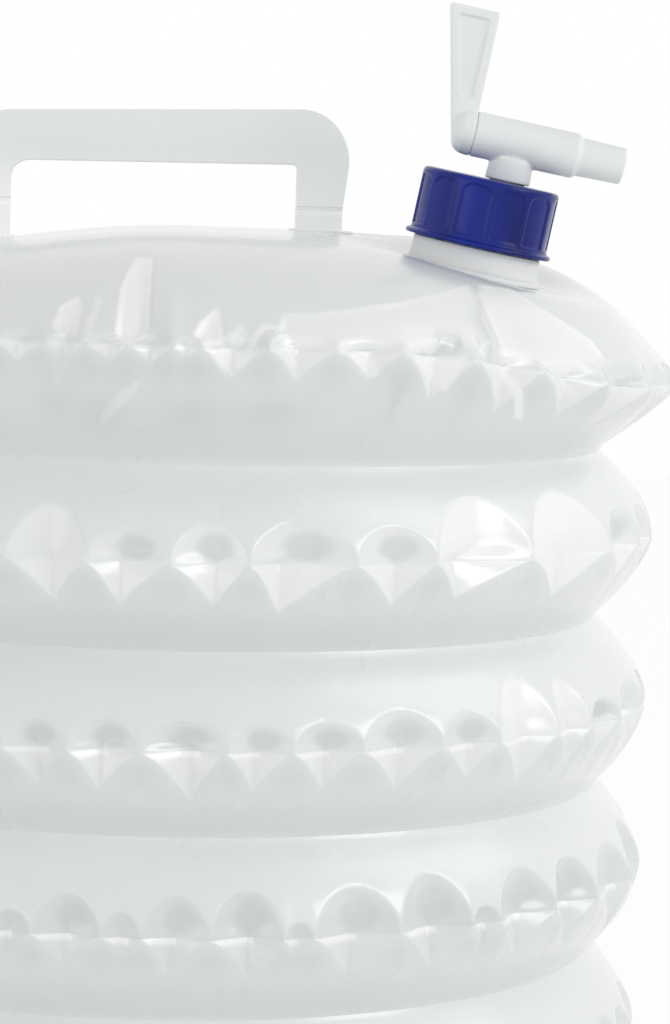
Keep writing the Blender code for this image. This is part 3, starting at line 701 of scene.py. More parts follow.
# %% Find what lies inside a patch
def inside_outline(across, up, outline):
    """Millimetres inside an outline of corners, negative outside it."""
    nearest = np.full_like(up, FAR_AWAY)
    within = np.zeros(len(up), dtype=bool)
    corners = [(math.radians(turn) * TOP_SEAM_RADIUS / MILLIMETRE, high) for turn, high in outline]
    for (x1, y1), (x2, y2) in zip(corners, corners[1:] + corners[:1]):
        long_x, long_y = x2 - x1, y2 - y1
        along = ((across - x1) * long_x + (up - y1) * long_y) / (long_x ** 2 + long_y ** 2)
        along = np.clip(along, 0, 1)
        nearest = np.minimum(nearest, np.hypot(across - x1 - along * long_x, up - y1 - along * long_y))
        crosses = ((y1 > up) != (y2 > up)) & (across < x1 + (up - y1) * long_x / (long_y + NEVER_ZERO))
        within ^= crosses
    return np.where(within, nearest, -nearest)


def patch_distances(angle, away):
    """For each patch, how far inside it each point lies."""
    for tone, depth, outline in PATCHES:
        middle = sum(turn for turn, high in outline) / len(outline)
        across = np.radians(near(angle, middle)) * TOP_SEAM_RADIUS / MILLIMETRE
        yield tone, depth, outline, inside_outline(across, away / MILLIMETRE, outline)


def patch_depth(angle, away):
    """Depth of the patches in metres, and how far each point belongs to one."""
    depth, share = np.zeros_like(angle), np.zeros_like(angle)
    for tone, deepest, outline, inside in patch_distances(angle, away):
        low = min(high for turn, high in outline)
        tall = max(high for turn, high in outline) - low
        tilt = 1 - PATCH_TILT * np.clip((away / MILLIMETRE - low) / tall, 0, 1)
        pressed = np.clip(inside / PATCH_EDGE, 0, 1)
        depth = np.where(pressed > 0, deepest * tilt * pressed * MILLIMETRE, depth)
        share = np.maximum(share, pressed)
    return depth, share


# %% Lay the patches over the tones
def patched(angle, away, soft, inner, edge):
    """The painted light and shade of a ring, with the patches and the soft painted shades laid over them.
    """
    for tone, depth, outline, inside in patch_distances(angle, away):
        inner = np.where(inside > np.minimum(edge, 0), tone, inner)
        edge = np.where(inside > 0, inside, np.maximum(edge, inside))
    # soft spots of painted shade, and one of painted highlight
    for middle, high, wide, tall, tone in PAINTED_SHADES:
        far = ((near(angle, middle) - middle) / wide) ** 2 + ((away / MILLIMETRE - high) / tall) ** 2
        soft = soft + tone * np.exp(-far)
    return soft, inner, edge


# %% [markdown]
# ## The walls of the rings
#
# Each ring has a lower wall, which rises from the neck under it, and an upper wall, which falls from
# the neck over it, and the two meet at the seam. In section a wall leaves the neck at a slant and turns
# upright at the seam. The top ring is cut differently: the tap and the strap pull on its front, so its
# weld is drawn up there, and the wall below it is longer and straighter.

# %% Lay a ring wall
BULGE_POWER = 1.9
TOP_BULGE_POWER = 1.4
FOLD_ROUNDING = 0.07
LEAST_CLIMB = 0.0008
MOST_CLIMB = 0.0120
CLIMB_MIDDLE, CLIMB_END, CLIMB_FADE = -10, 78, 50


def weld_climb(angle):
    """How far the top weld lies above its plane: it is pulled up at the front."""
    share = smooth((CLIMB_END - apart(angle, CLIMB_MIDDLE)) / CLIMB_FADE)
    return LEAST_CLIMB + (MOST_CLIMB - LEAST_CLIMB) * share


def wall_radius(ring, neck_radius, seam_radius, across):
    """Radius of a wall, with across 0 at the neck and 1 at the weld."""
    power = TOP_BULGE_POWER if ring == 1 else BULGE_POWER
    rounded = across * across / (across + FOLD_ROUNDING * (1 - across))
    return neck_radius + (seam_radius - neck_radius) * (1 - (1 - rounded) ** power)


def puckered(ring, angle, height, reach, away, lower):
    """Radius of a wall's points, with reach from 0 at the neck to 1 at the weld."""
    seam_radius = TOP_SEAM_RADIUS if ring == 1 else SEAM_RADIUS
    radius = wall_radius(ring, NECK_RADII[ring if lower else ring - 1], seam_radius, reach)
    radius += unevenness(angle, height, ring) * (1 - (1 - reach) ** 2)
    radius += ridge_swell(ring, angle, away) - dent_depth(ring, angle, away)
    if lower:
        radius -= fold_depth(ring, angle, 1 - reach)
    return radius


def ring_wall(name, ring, neck, lower):
    """One wall of a ring, between a neck and the ring's seam."""
    piece, across, angle = copy_sheet(wall_sheet, name)
    neck_z, seam_z = neck_height(neck), seam_height(ring)
    height = neck_z + (seam_z - neck_z) * across
    weld_z, reach = seam_z, across
    if ring == 1:
        weld_z = seam_z + weld_climb(angle)
        reach = (height - neck_z) / (weld_z - neck_z)
    away = height - weld_z
    lay(piece, puckered(ring, angle, height, reach, away, lower), angle, height)
    tones = ring_painted_light(ring, angle, away)
    paint(piece, patched(angle, away, *tones) if ring == 1 else tones)
    thicken(piece)
    return piece


def fold_with(piece, body, node):
    """The film takes the place of the model's part and rides on a body, with a mesh of its own."""
    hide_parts(node)
    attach(piece, body)
    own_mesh(piece)


film_pieces = []
for neck in range(1, RING_COUNT):
    body = f"neck_{neck}"
    lower = ring_wall(f"ring_{neck}_lower_skin", neck, neck, True)
    fold_with(lower, body, f"ring_{neck}_lower_film")
    upper = ring_wall(f"ring_{neck + 1}_upper_skin", neck + 1, neck, False)
    fold_with(upper, body, f"ring_{neck + 1}_upper_film")
    film_pieces += [lower, upper]
print("ring walls:", len(film_pieces))

# %% [markdown]
# ## The bottom
#
# The lowest ring has no wall of its own below its seam: the bottom film is one disc, flat where it
# stands and turned up at its rim. It is laid from the same sheet, whose inner edge is drawn in to a
# small ring that is then filled. Its rim stops a hair below the wall that it meets, because the two
# come down on each other when the bag folds flat.

# %% Lay the bottom film
FLAT_SHARE = 0.35
HOLE_SHARE = 0.02
RIM_POWER = 1.15
RIM_GAP = 0.00002


def bottom_film():
    """A disc that lies flat and turns up into the lowest ring's lower half."""
    piece, across, angle = copy_sheet(wall_sheet, "bottom_skin")
    wall = np.clip((across - FLAT_SHARE) / (1 - FLAT_SHARE), 0, 1)
    bulge = 1 - (1 - wall) ** BULGE_POWER
    radius = BASE_RADIUS + (SEAM_RADIUS - BASE_RADIUS) * bulge
    flat = BASE_RADIUS * (HOLE_SHARE + (1 - HOLE_SHARE) * across / FLAT_SHARE)
    radius = np.where(across < FLAT_SHARE, flat, radius)
    height = (RING_PITCH / 2 - RIM_GAP) * wall ** RIM_POWER
    away = height - RING_PITCH / 2
    radius += unevenness(angle, height, RING_COUNT) * (1 - (1 - wall) ** 2)
    radius += (ridge_swell(RING_COUNT, angle, away) - dent_depth(RING_COUNT, angle, away)) * wall ** 0.5
    lay(piece, radius, angle, height)
    on_hole = BASE_RADIUS * HOLE_SHARE + MERGE
    pick_edges(piece, lambda a, b: a.xy.length < on_hole and b.xy.length < on_hole)
    bpy.ops.mesh.edge_face_add()
    bpy.ops.mesh.select_all(action="SELECT")
    bpy.ops.mesh.normals_make_consistent(inside=False)
    bpy.ops.object.mode_set(mode="OBJECT")
    paint(piece, ring_painted_light(RING_COUNT, angle, away))
    thicken(piece)
    return piece


bottom = bottom_film()
fold_with(bottom, "base", "bottom_film")
film_pieces.append(bottom)

# %% [markdown]
# ## The dome
#
# The top film is pulled up into a broad dome, and the weight of the tap presses a flat seat into it
# under the spout. At the left, where nothing holds it up, the dome is slack and lies lower. The sheet's
# inner edge becomes the spout's hole. Its outer edge reaches past the weld: where the weld is drawn up
# at the front, the film goes on below it as a skirt, down to where the wall of the top ring begins. It
# carries the weld's puckers and the patches that were laid above.

# %% Sizes of the dome and the spout's seat
SPOUT_REACH = 0.634 * TOP_SEAM_RADIUS
SPOUT_TURN = math.radians(-26)
SPOUT_LEAN = math.radians(10.5)
LEAN_TURN = math.radians(-9.8)
SPOUT_BORE = 0.0139
SEAT_DROP = 0.0109
SEAT = Vector((SPOUT_REACH * math.cos(SPOUT_TURN), SPOUT_REACH * math.sin(SPOUT_TURN),
               TOP_SEAM + DOME_HEIGHT - SEAT_DROP))
SEAT_RADIUS, SEAT_FADE = 0.0215, 0.052
SLACK_ALL, SLACK_LEFT, SLACK_START, SLACK_RATE, SLACK_POWER = 0.0007, 0.009, 0.005, 213, 4
SPOUT_UP = Vector((math.sin(SPOUT_LEAN) * math.cos(LEAN_TURN),
                   math.sin(SPOUT_LEAN) * math.sin(LEAN_TURN), math.cos(SPOUT_LEAN)))


def dome_height(x, y):
    """Height of the dome's outer face, less full to the left, and pressed flat under the spout."""
    radius = np.minimum(np.hypot(x, y), TOP_SEAM_RADIUS)
    weld = TOP_SEAM + weld_climb(np.degrees(np.arctan2(x, -y)))
    full = 1 - (radius / TOP_SEAM_RADIUS) ** DOME_POWER
    slack = SLACK_ALL + SLACK_LEFT * np.tanh(SLACK_RATE * np.clip(SLACK_START - x, 0, 1) ** 2)
    slack = slack * (1 - (radius / TOP_SEAM_RADIUS) ** SLACK_POWER)
    dome = weld + (TOP_SEAM + DOME_HEIGHT - weld) * full - slack
    away_x, away_y = x - SEAT.x, y - SEAT.y
    seat = SEAT.z - (SPOUT_UP.x * away_x + SPOUT_UP.y * away_y) / SPOUT_UP.z
    share = smooth((SEAT_FADE - np.hypot(away_x, away_y)) / (SEAT_FADE - SEAT_RADIUS))
    return dome + (seat - dome) * share


print("seat of the spout:", [round(value, 4) for value in SEAT])

# %% Distance up the dome from its weld
PROFILE_POINTS = 600
profile_radii = np.linspace(0, TOP_SEAM_RADIUS, PROFILE_POINTS)
profile_heights = DOME_HEIGHT * (1 - (profile_radii / TOP_SEAM_RADIUS) ** DOME_POWER)
steps_along = np.hypot(np.diff(profile_radii), np.diff(profile_heights))
profile_climb = np.append(np.cumsum(steps_along[::-1])[::-1], 0)
print("from the weld to the crown:", round(profile_climb[0] * 1000, 1), "mm")

# %% Lay the top film
PUCKER_ZONE, MOST_ZONE = 0.052, 0.7
CALM_SHARE, SKIRT_SHARE = 0.27, 0.83
CALM_ROUND_SEAT, CALM_FADE = 0.024, 0.012
PATCHES_START = 0.006
ROUNDED_WELD = 0.004
# Painted light round the spout's collar, which lifts the shade that the cap casts beside it.
COLLAR_PAINTED_LIGHT, COLLAR_REACH, COLLAR_FADE = 0.6, 0.040, 0.016


def spread_sheet(across, angle):
    """Where each point of the sheet lies on the flat: crowded where the puckers are."""
    turn_to = np.radians(angle)
    edge_x, edge_y = TOP_SEAM_RADIUS * np.sin(turn_to), -TOP_SEAM_RADIUS * np.cos(turn_to)
    length = np.hypot(edge_x - SEAT.x, edge_y - SEAT.y)
    hole = SPOUT_BORE / length
    zone = np.minimum(PUCKER_ZONE / length, MOST_ZONE * (1 - hole))
    inner = hole + (1 - zone - hole) * across / CALM_SHARE
    outer = 1 - zone + zone * (across - CALM_SHARE) / (SKIRT_SHARE - CALM_SHARE)
    reach = np.minimum(np.where(across < CALM_SHARE, inner, outer), 1)
    return SEAT.x + (edge_x - SEAT.x) * reach, SEAT.y + (edge_y - SEAT.y) * reach


def top_film():
    """From the spout's hole out to the weld, and on down to where the top ring's wall begins."""
    piece, across, angle = copy_sheet(dome_sheet, "top_skin")
    x, y = spread_sheet(across, angle)
    flat_radius, from_seat = np.hypot(x, y), np.hypot(x - SEAT.x, y - SEAT.y)
    around = np.degrees(np.arctan2(x, -y))
    weld = TOP_SEAM + weld_climb(around)
    height = np.maximum(dome_height(x, y), weld)
    climb = np.interp(flat_radius, profile_radii, profile_climb)
    lean = DOME_POWER * DOME_HEIGHT / TOP_SEAM_RADIUS * (flat_radius / TOP_SEAM_RADIUS) ** (DOME_POWER - 1)
    steepness = np.hypot(lean, 1)
    clear = np.clip((from_seat - CALM_ROUND_SEAT) / CALM_FADE, 0, 1)
    dents = dent_depth(1, around, climb) - ridge_swell(1, around, climb)
    pressed, share = patch_depth(around, climb)
    dents = pressed + dents * (1 - share * np.clip(climb / PATCHES_START, 0, 1))
    # a dent goes in at a right angle to the dome, but straight inwards close to the weld
    at_weld = np.clip(1 - climb / ROUNDED_WELD, 0, 1)
    outward = lean / steepness + (1 - lean / steepness) * at_weld
    downward = (1 - at_weld) / steepness
    radius = flat_radius + (unevenness(around, height, 1) - dents) * outward * clear
    height = height - dents * downward * clear
    # the skirt hangs from the weld and lies as the wall below it does
    down = np.clip((across - SKIRT_SHARE) / (1 - SKIRT_SHARE), 0, 1)
    low = weld - (weld - TOP_SEAM) * down
    reach = (low - neck_height(1)) / (weld - neck_height(1))
    skirt = across > SKIRT_SHARE
    radius = np.where(skirt, puckered(1, around, low, reach, low - weld, True), radius)
    height = np.where(skirt, low, height)
    scale = radius / flat_radius
    move_points(piece, np.stack([x * scale, y * scale, height], 1))
    up = np.where(skirt, low - weld, climb)
    soft, inner, edge = patched(around, up, *ring_painted_light(1, around, up))
    # painted light round the collar, against the shade that the cap casts there
    soft = soft + COLLAR_PAINTED_LIGHT * smooth((COLLAR_REACH - from_seat) / COLLAR_FADE) * clear
    paint(piece, (soft, inner, edge))
    thicken(piece)
    return piece


top = top_film()
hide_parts("top_film")
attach(top, "top")
film_pieces.append(top)
bpy.data.objects.remove(wall_sheet)
bpy.data.objects.remove(dome_sheet)
print("top film:", len(top.data.vertices), "points")

# %% [markdown]
# ## The strap
#
# The strap is one flat moulding, softly rounded at its edges. It starts as a block for the bar. The
# block is cut across twice with bisect, so that the ends of its underside become faces of their own,
# and those are extruded down into the two legs. Then the corners are bevelled, the outer ones widely.
# Last, the legs are cut off just above the line on which the strap folds, and their ends are drawn on
# as a thin strip that runs out to a wedge. The strap can then fold flat both ways without a gap.

# %% Sizes of the strap
STRAP_SHIFT = -0.006
STRAP_WIDTH = 0.1128
STRAP_RISE = 0.0278
STRAP_THICKNESS = 0.0024
STRAP_LEAN = math.radians(2)
BAR_DEPTH = 0.0152
LEG_WIDTH = 0.0152
OUTER_CORNER, LEFT_CORNER, RIGHT_CORNER = 0.0145, 0.0052, 0.0012
STRAP_EDGE = 0.0005
EDGE_ANGLE = math.radians(50)
LEG_TAPER = 0.0016
HINGE_LINE = 0.305
HINGE_LAND = 0.0014
HINGE_STEP = 0.0002
HINGE_WEDGE = 0.0004
HINGE_EDGE_SHARE = 0.05
HINGE_HALF = 0.0003
HINGE_CLEARANCE = 0.00003


# %% Model the strap
def draw_to_fold(way):
    """Draw the picked ends on, down (-1) or up (1), as a thin strip that narrows to the fold's line."""
    lengths = (HINGE_STEP, HINGE_LAND - HINGE_STEP - HINGE_WEDGE, HINGE_WEDGE - HINGE_CLEARANCE)
    shares = (2 * HINGE_HALF / STRAP_THICKNESS, 1, HINGE_EDGE_SHARE)
    for length, share in zip(lengths, shares):
        bpy.ops.mesh.extrude_region_move(TRANSFORM_OT_translate={"value": (0, 0, way * length)})
        bpy.ops.transform.resize(value=(1, share, 1), center_override=(0, 0, 0))


def strap():
    """The bar and its two legs, as one piece that ends on the fold's line."""
    half = STRAP_WIDTH / 2
    inner = half - LEG_WIDTH
    underside = STRAP_RISE - BAR_DEPTH
    thick = STRAP_THICKNESS / 2
    piece = block("strap", (-half, -thick, underside), (half, thick, STRAP_RISE))
    bpy.ops.object.mode_set(mode="EDIT")
    for place in (-inner, inner):
        bpy.ops.mesh.select_all(action="SELECT")
        bpy.ops.mesh.bisect(plane_co=(place, 0, 0), plane_no=(1, 0, 0))
    pick_faces(piece, lambda face: face.normal.z < -FACING and abs(face.center.x) > inner)
    bpy.ops.mesh.extrude_region_move(TRANSFORM_OT_translate={"value": (0, 0, -underside)})

    def along_y(start, end):
        return abs(start.x - end.x) < MERGE and abs(start.z - end.z) < MERGE

    pick_edges(piece, lambda a, b: along_y(a, b) and a.z > STRAP_RISE - MERGE and abs(a.x) > inner + MERGE)
    bpy.ops.mesh.bevel(offset=OUTER_CORNER, segments=12)
    for place, corner, segments in ((-inner, LEFT_CORNER, 8), (inner, RIGHT_CORNER, 4)):
        pick_edges(piece, lambda a, b: along_y(a, b) and abs(a.z - underside) < MERGE
                   and abs(a.x - place) < MERGE)
        bpy.ops.mesh.bevel(offset=corner, segments=segments)
    bpy.ops.object.mode_set(mode="OBJECT")
    edge = piece.modifiers.new("edge", "BEVEL")
    edge.width = STRAP_EDGE
    edge.segments = 3
    edge.limit_method = "ANGLE"
    edge.angle_limit = EDGE_ANGLE
    apply_modifiers(piece)
    bpy.ops.object.mode_set(mode="EDIT")
    bpy.ops.mesh.select_all(action="SELECT")
    bpy.ops.mesh.bisect(plane_co=(0, 0, HINGE_LAND), plane_no=(0, 0, 1), use_fill=True, clear_inner=True)
    pick_faces(piece, lambda face: face.normal.z < -FACING and face.center.z < HINGE_LAND + MERGE)
    draw_to_fold(-1)
    bpy.ops.object.mode_set(mode="OBJECT")
    points = points_of(piece)
    # the bar leans a little, and the legs narrow from the outside towards their feet
    points[:, 2] += points[:, 2] * points[:, 0] * math.tan(STRAP_LEAN) / STRAP_RISE
    low = np.clip(1 - points[:, 2] / underside, 0, 1)
    outer = (np.abs(points[:, 0]) - inner) / LEG_WIDTH
    points[:, 0] -= np.sign(points[:, 0]) * LEG_TAPER * low * np.clip(outer, 0, 1)
    move_points(piece, points)
    apply_place(piece, Matrix.Translation((STRAP_SHIFT, 0, HINGE_LINE)))
    shade(piece)
    return piece


strap_piece = strap()
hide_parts("handle_strap")
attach(strap_piece, "handle")
print("strap:", len(strap_piece.data.polygons), "faces")

# %% [markdown]
# ## The strap's feet
#
# Below the fold each leg goes on as a short post on a round-cornered pad, which is welded to the dome.
# The pad is a block with bevelled corners, tilted with the dome where it lies. The post is a block of
# its own that ends in a strip and a wedge like the leg's, and the two are joined.

# %% Model the feet
FOOT_LENGTH, FOOT_WIDTH, FOOT_THICKNESS = 0.0185, 0.0140, 0.0006
FOOT_CORNER, FOOT_EDGE = 0.004, 0.0003
FOOT_SUNK, POST_START = 0.0001, 0.0002


def foot(name, place, node):
    """A pad that lies on the dome where it is, and a post from it up to the thin strip."""
    half_x, half_y = FOOT_LENGTH / 2, FOOT_WIDTH / 2
    middle = STRAP_SHIFT + place
    heights = np.array([[float(dome_height(middle + side * half_x, back * half_y)) for back in (-1, 1)]
                        for side in (-1, 1)])
    slope_x = math.atan2(heights[1].mean() - heights[0].mean(), FOOT_LENGTH)
    slope_y = math.atan2(heights[:, 1].mean() - heights[:, 0].mean(), FOOT_WIDTH)
    rest = heights.mean() - FOOT_SUNK
    piece = block(name, (-half_x, -half_y, 0), (half_x, half_y, FOOT_THICKNESS))
    pick_edges(piece, lambda a, b: abs(a.z - b.z) > MERGE)
    bpy.ops.mesh.bevel(offset=FOOT_CORNER, segments=6)
    pick_edges(piece, lambda a, b: a.z > FOOT_THICKNESS - MERGE and b.z > FOOT_THICKNESS - MERGE)
    bpy.ops.mesh.bevel(offset=FOOT_EDGE, segments=3)
    bpy.ops.object.mode_set(mode="OBJECT")
    apply_place(piece, Matrix.Translation((middle, 0, rest)) @ Matrix.Rotation(-slope_x, 4, "Y")
                @ Matrix.Rotation(slope_y, 4, "X"))
    thick = STRAP_THICKNESS / 2
    outwards = place / abs(place)
    left, right_side = sorted([middle - outwards * LEG_WIDTH / 2,
                               middle + outwards * (LEG_WIDTH / 2 - LEG_TAPER)])
    post = block(name + "_post", (left, -thick, rest + POST_START),
                 (right_side, thick, HINGE_LINE - HINGE_LAND))
    pick_faces(post, lambda face: face.normal.z > FACING)
    draw_to_fold(1)
    bpy.ops.object.mode_set(mode="OBJECT")
    select_only(piece)
    post.select_set(True)
    bpy.ops.object.join()
    shade(piece)
    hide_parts(node)
    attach(piece, "top")
    return piece


leg = (STRAP_WIDTH - LEG_WIDTH) / 2
feet = [foot("left_foot", -leg, "handle_foot_left"), foot("right_foot", leg, "handle_foot_right")]
print("feet at", [round(STRAP_SHIFT + side * leg, 4) for side in (-1, 1)])

# %% [markdown]
# ## The spout's neck
#
# The neck is turned: a weld flange, a collar, a step and the threaded tube with its flat rim. The
# profile goes up the outside and down the inside, and ends where it began, so the loop of points is
# merged into a closed wall. Round corners are put in the profile itself.

# %% Where the spout stands
COLLAR_HEIGHT = 0.0080
SPOUT_RADIUS = SPOUT_BORE + 0.0022
SPOUT_RIM = 0.0237
along_spout = Vector((1, 0, 0))
along_spout = (along_spout - SPOUT_UP * along_spout.dot(SPOUT_UP)).normalized()
spout_turn = Matrix((along_spout, SPOUT_UP.cross(along_spout), SPOUT_UP)).transposed()
SPOUT_PLACE = Matrix.Translation(SEAT) @ spout_turn.to_4x4()
print("the spout's foot stands at", [round(value, 4) for value in SPOUT_PLACE.translation])

# %% Model the neck
SEATED = 0.00005
neck_profile = [
    (SPOUT_BORE, SEATED), (0.0193, SEATED), (0.0195, 0.0003), (0.0195, 0.0013), (0.0193, 0.0016),
    (0.0188, 0.0018), (0.0184, 0.0022), (0.0181, 0.0030), (0.0180, 0.0040), (0.0180, 0.0076),
    (0.0178, 0.0079), (0.0175, COLLAR_HEIGHT), (SPOUT_RADIUS + 0.0003, COLLAR_HEIGHT),
    (SPOUT_RADIUS, COLLAR_HEIGHT + 0.0004), (SPOUT_RADIUS, SPOUT_RIM - 0.0004),
    (SPOUT_RADIUS - 0.0004, SPOUT_RIM), (SPOUT_BORE + 0.0003, SPOUT_RIM),
    (SPOUT_BORE, SPOUT_RIM - 0.0003), (SPOUT_BORE, SEATED)]
spout_piece = turned("spout_tube", neck_profile, 128)
point_outwards(spout_piece)

# %% Wind the thread round it
THREAD_LEAD = 0.008
THREAD_FOOT = COLLAR_HEIGHT + 0.0021
THREAD_HALF = 0.0009
THREAD_STEPS, TURN_STEPS, FADE_STEPS = 116, 128, 8
THREAD_POINT = 0.05


def thread(name, start):
    """A ridge that climbs round the neck: a path with a round section, made a mesh."""
    start_clean()
    bpy.ops.curve.primitive_nurbs_path_add()
    ridge = name_piece(name)
    curve = ridge.data
    curve.splines.clear()
    spline = curve.splines.new("POLY")
    spline.points.add(THREAD_STEPS)
    for step, point in enumerate(spline.points):
        turns = step / TURN_STEPS
        angle = start + math.tau * turns
        point.co = (SPOUT_RADIUS * math.cos(angle), SPOUT_RADIUS * math.sin(angle),
                    THREAD_FOOT + THREAD_LEAD * turns, 1)
        fade = min(1, step / FADE_STEPS, (THREAD_STEPS - step) / FADE_STEPS)
        point.radius = max(fade, THREAD_POINT)
    curve.bevel_depth = THREAD_HALF
    curve.bevel_resolution = 3
    curve.use_fill_caps = True
    bpy.ops.object.convert(target="MESH")
    return bpy.context.object


ridges = [thread("thread_one", 0), thread("thread_two", math.pi)]
select_only(spout_piece)
for ridge in ridges:
    ridge.select_set(True)
bpy.ops.object.join()
apply_place(spout_piece, SPOUT_PLACE)
shade(spout_piece, 35)
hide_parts("spout_neck")
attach(spout_piece, "top")
print("neck and thread:", len(spout_piece.data.polygons), "faces")

# %% [markdown]
# ## The cap
#
# The cap is a deep blue cup. Twelve shallow panels with rounded tops are sunk into its wall, with thin
# ribs left between them, and its foot flares into a narrow flange. The wall is turned with many rows
# and steps, and the panels are then pressed in by moving points: a point moves in if it lies well
# inside the outline of its panel.

# %% Sizes of the cap
CAP_BOTTOM = COLLAR_HEIGHT + GAP
CAP_TOP = CAP_BOTTOM + 0.0188
CAP_RADIUS = 0.0193
CAP_FLANGE = 0.0206
CAP_BORE = SPOUT_RADIUS + 0.0013
CAP_ROOF = CAP_TOP - 0.0015
PANEL_COUNT = 12
PANEL_DEPTH = 0.0005
PANEL_LOW, PANEL_HIGH = CAP_BOTTOM + 0.0024, CAP_TOP - 0.0017
PANEL_CORNER, PANEL_SLOPE, RIB_HALF = 0.0030, 0.0007, 0.0005
PANEL_MARGIN = 0.0002
CAP_ROWS, CAP_STEPS = 52, 432
CAP_CORNER, CORNER_STEPS = 0.0013, 4
SMALL_HOLE = 0.0004


def close_holes(piece, heights):
    """Close the small holes that a turned piece has on its axis at these heights."""
    for end in heights:
        pick_edges(piece, lambda a, b: abs(a.z - end) < MERGE and abs(b.z - end) < MERGE
                   and a.xy.length < SMALL_HOLE + MERGE and b.xy.length < SMALL_HOLE + MERGE)
        bpy.ops.mesh.edge_face_add()
    bpy.ops.object.mode_set(mode="OBJECT")


def cap_profile():
    """Up the outside, over the top, and down the inside to the first point again."""
    low = CAP_BOTTOM
    points = [(CAP_BORE, low), (CAP_FLANGE - 0.0003, low), (CAP_FLANGE, low + 0.0003),
              (CAP_FLANGE, low + 0.0009), (CAP_FLANGE - 0.0003, low + 0.0012),
              (CAP_RADIUS + 0.0005, low + 0.0014), (CAP_RADIUS + 0.0002, low + 0.0016)]
    start, end = low + 0.0019, CAP_TOP - CAP_CORNER
    for row in range(CAP_ROWS + 1):
        points.append((CAP_RADIUS, start + (end - start) * row / CAP_ROWS))
    for step in range(1, CORNER_STEPS + 1):
        corner = math.radians(90) * step / CORNER_STEPS
        points.append((CAP_RADIUS - CAP_CORNER * (1 - math.cos(corner)),
                       end + CAP_CORNER * math.sin(corner)))
    points += [(CAP_RADIUS - 0.003, CAP_TOP), (SMALL_HOLE, CAP_TOP), (SMALL_HOLE, CAP_ROOF)]
    points += [(CAP_BORE - 0.0005, CAP_ROOF), (CAP_BORE, CAP_ROOF - 0.0005), (CAP_BORE, low)]
    return points


# %% Turn the cap and press in its panels
cap_piece = turned("blue_cap", cap_profile(), CAP_STEPS)
point_outwards(cap_piece)
points = points_of(cap_piece)
radius = np.hypot(points[:, 0], points[:, 1])
turn_at = np.degrees(np.arctan2(points[:, 1], points[:, 0]))
step = 360 / PANEL_COUNT
across = np.radians(turn_at % step - step / 2) * CAP_RADIUS
half_panel = math.radians(step / 2) * CAP_RADIUS - RIB_HALF
height = points[:, 2]
from_corner = np.hypot(np.maximum(np.abs(across) - (half_panel - PANEL_CORNER), 0),
                       np.maximum(height - (PANEL_HIGH - PANEL_CORNER), 0))
inside = np.minimum(PANEL_CORNER - from_corner, np.minimum(half_panel - np.abs(across), height - PANEL_LOW))
press = smooth(inside / PANEL_SLOPE)
on_wall = radius > CAP_RADIUS - MERGE
on_wall &= (height > PANEL_LOW - PANEL_MARGIN) & (height < PANEL_HIGH + PANEL_MARGIN)
scale = np.where(on_wall, 1 - PANEL_DEPTH * press / radius, 1)
points[:, 0] *= scale
points[:, 1] *= scale
move_points(cap_piece, points)
close_holes(cap_piece, (CAP_TOP, CAP_ROOF))
apply_place(cap_piece, SPOUT_PLACE)
shade(cap_piece, 45)
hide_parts("screw_cap")
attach(cap_piece, "cap")
print("cap:", len(cap_piece.data.polygons), "faces")

# %% [markdown]
# ## The tap
#
# The tap is one white moulding: a barrel with a nozzle that is a little narrower, on a stem that
# passes down through the cap. Its parts flow into each other with soft fillets. Solids that overlap
# are joined, and a voxel remesh melts them into one skin, whose corners a few rounds of smoothing
# then soften. That is how such a moulding looks, and it needs no work at the places where they meet.

# %% Sizes of the tap
TAP_OFFSET = 0.0042
TAP_AXIS = CAP_TOP + 0.0114
BARREL_RADIUS = 0.0063
BARREL_TAIL = 0.0121
BARREL_NOSE = 0.0170
NOZZLE_END = BARREL_NOSE + 0.0138
NOZZLE_BORE = 0.0039
PLUG_HOLE = 0.0047
PLUG_NOSE = 0.0090
NOSE_STEP = BARREL_NOSE + 0.0008
STEM_RADIUS = 0.0064
STEM_HEAD = TAP_AXIS - 0.0048
SPIGOT_RADIUS, SPIGOT_BORE, SPIGOT_END = 0.0046, 0.0030, 0.0192
TAP_STEPS = 96
TAP_PLACE = SPOUT_PLACE @ Matrix.Translation((TAP_OFFSET, 0, TAP_AXIS))
LIE_DOWN = Matrix.Rotation(math.radians(90), 4, "Y")
VOXEL = 0.00028
SOFTEN_SHARE = 0.5


def melt(piece, other, rounds):
    """Join two overlapping solids under one closed skin, and soften its corners."""
    select_only(piece)
    other.select_set(True)
    bpy.ops.object.join()
    skin = piece.modifiers.new("skin", "REMESH")
    skin.mode = "VOXEL"
    skin.voxel_size = VOXEL
    soften = piece.modifiers.new("soften", "SMOOTH")
    soften.factor = SOFTEN_SHARE
    soften.iterations = rounds
    apply_modifiers(piece)
    apply_place(piece, TAP_PLACE)
    shade(piece, 60)


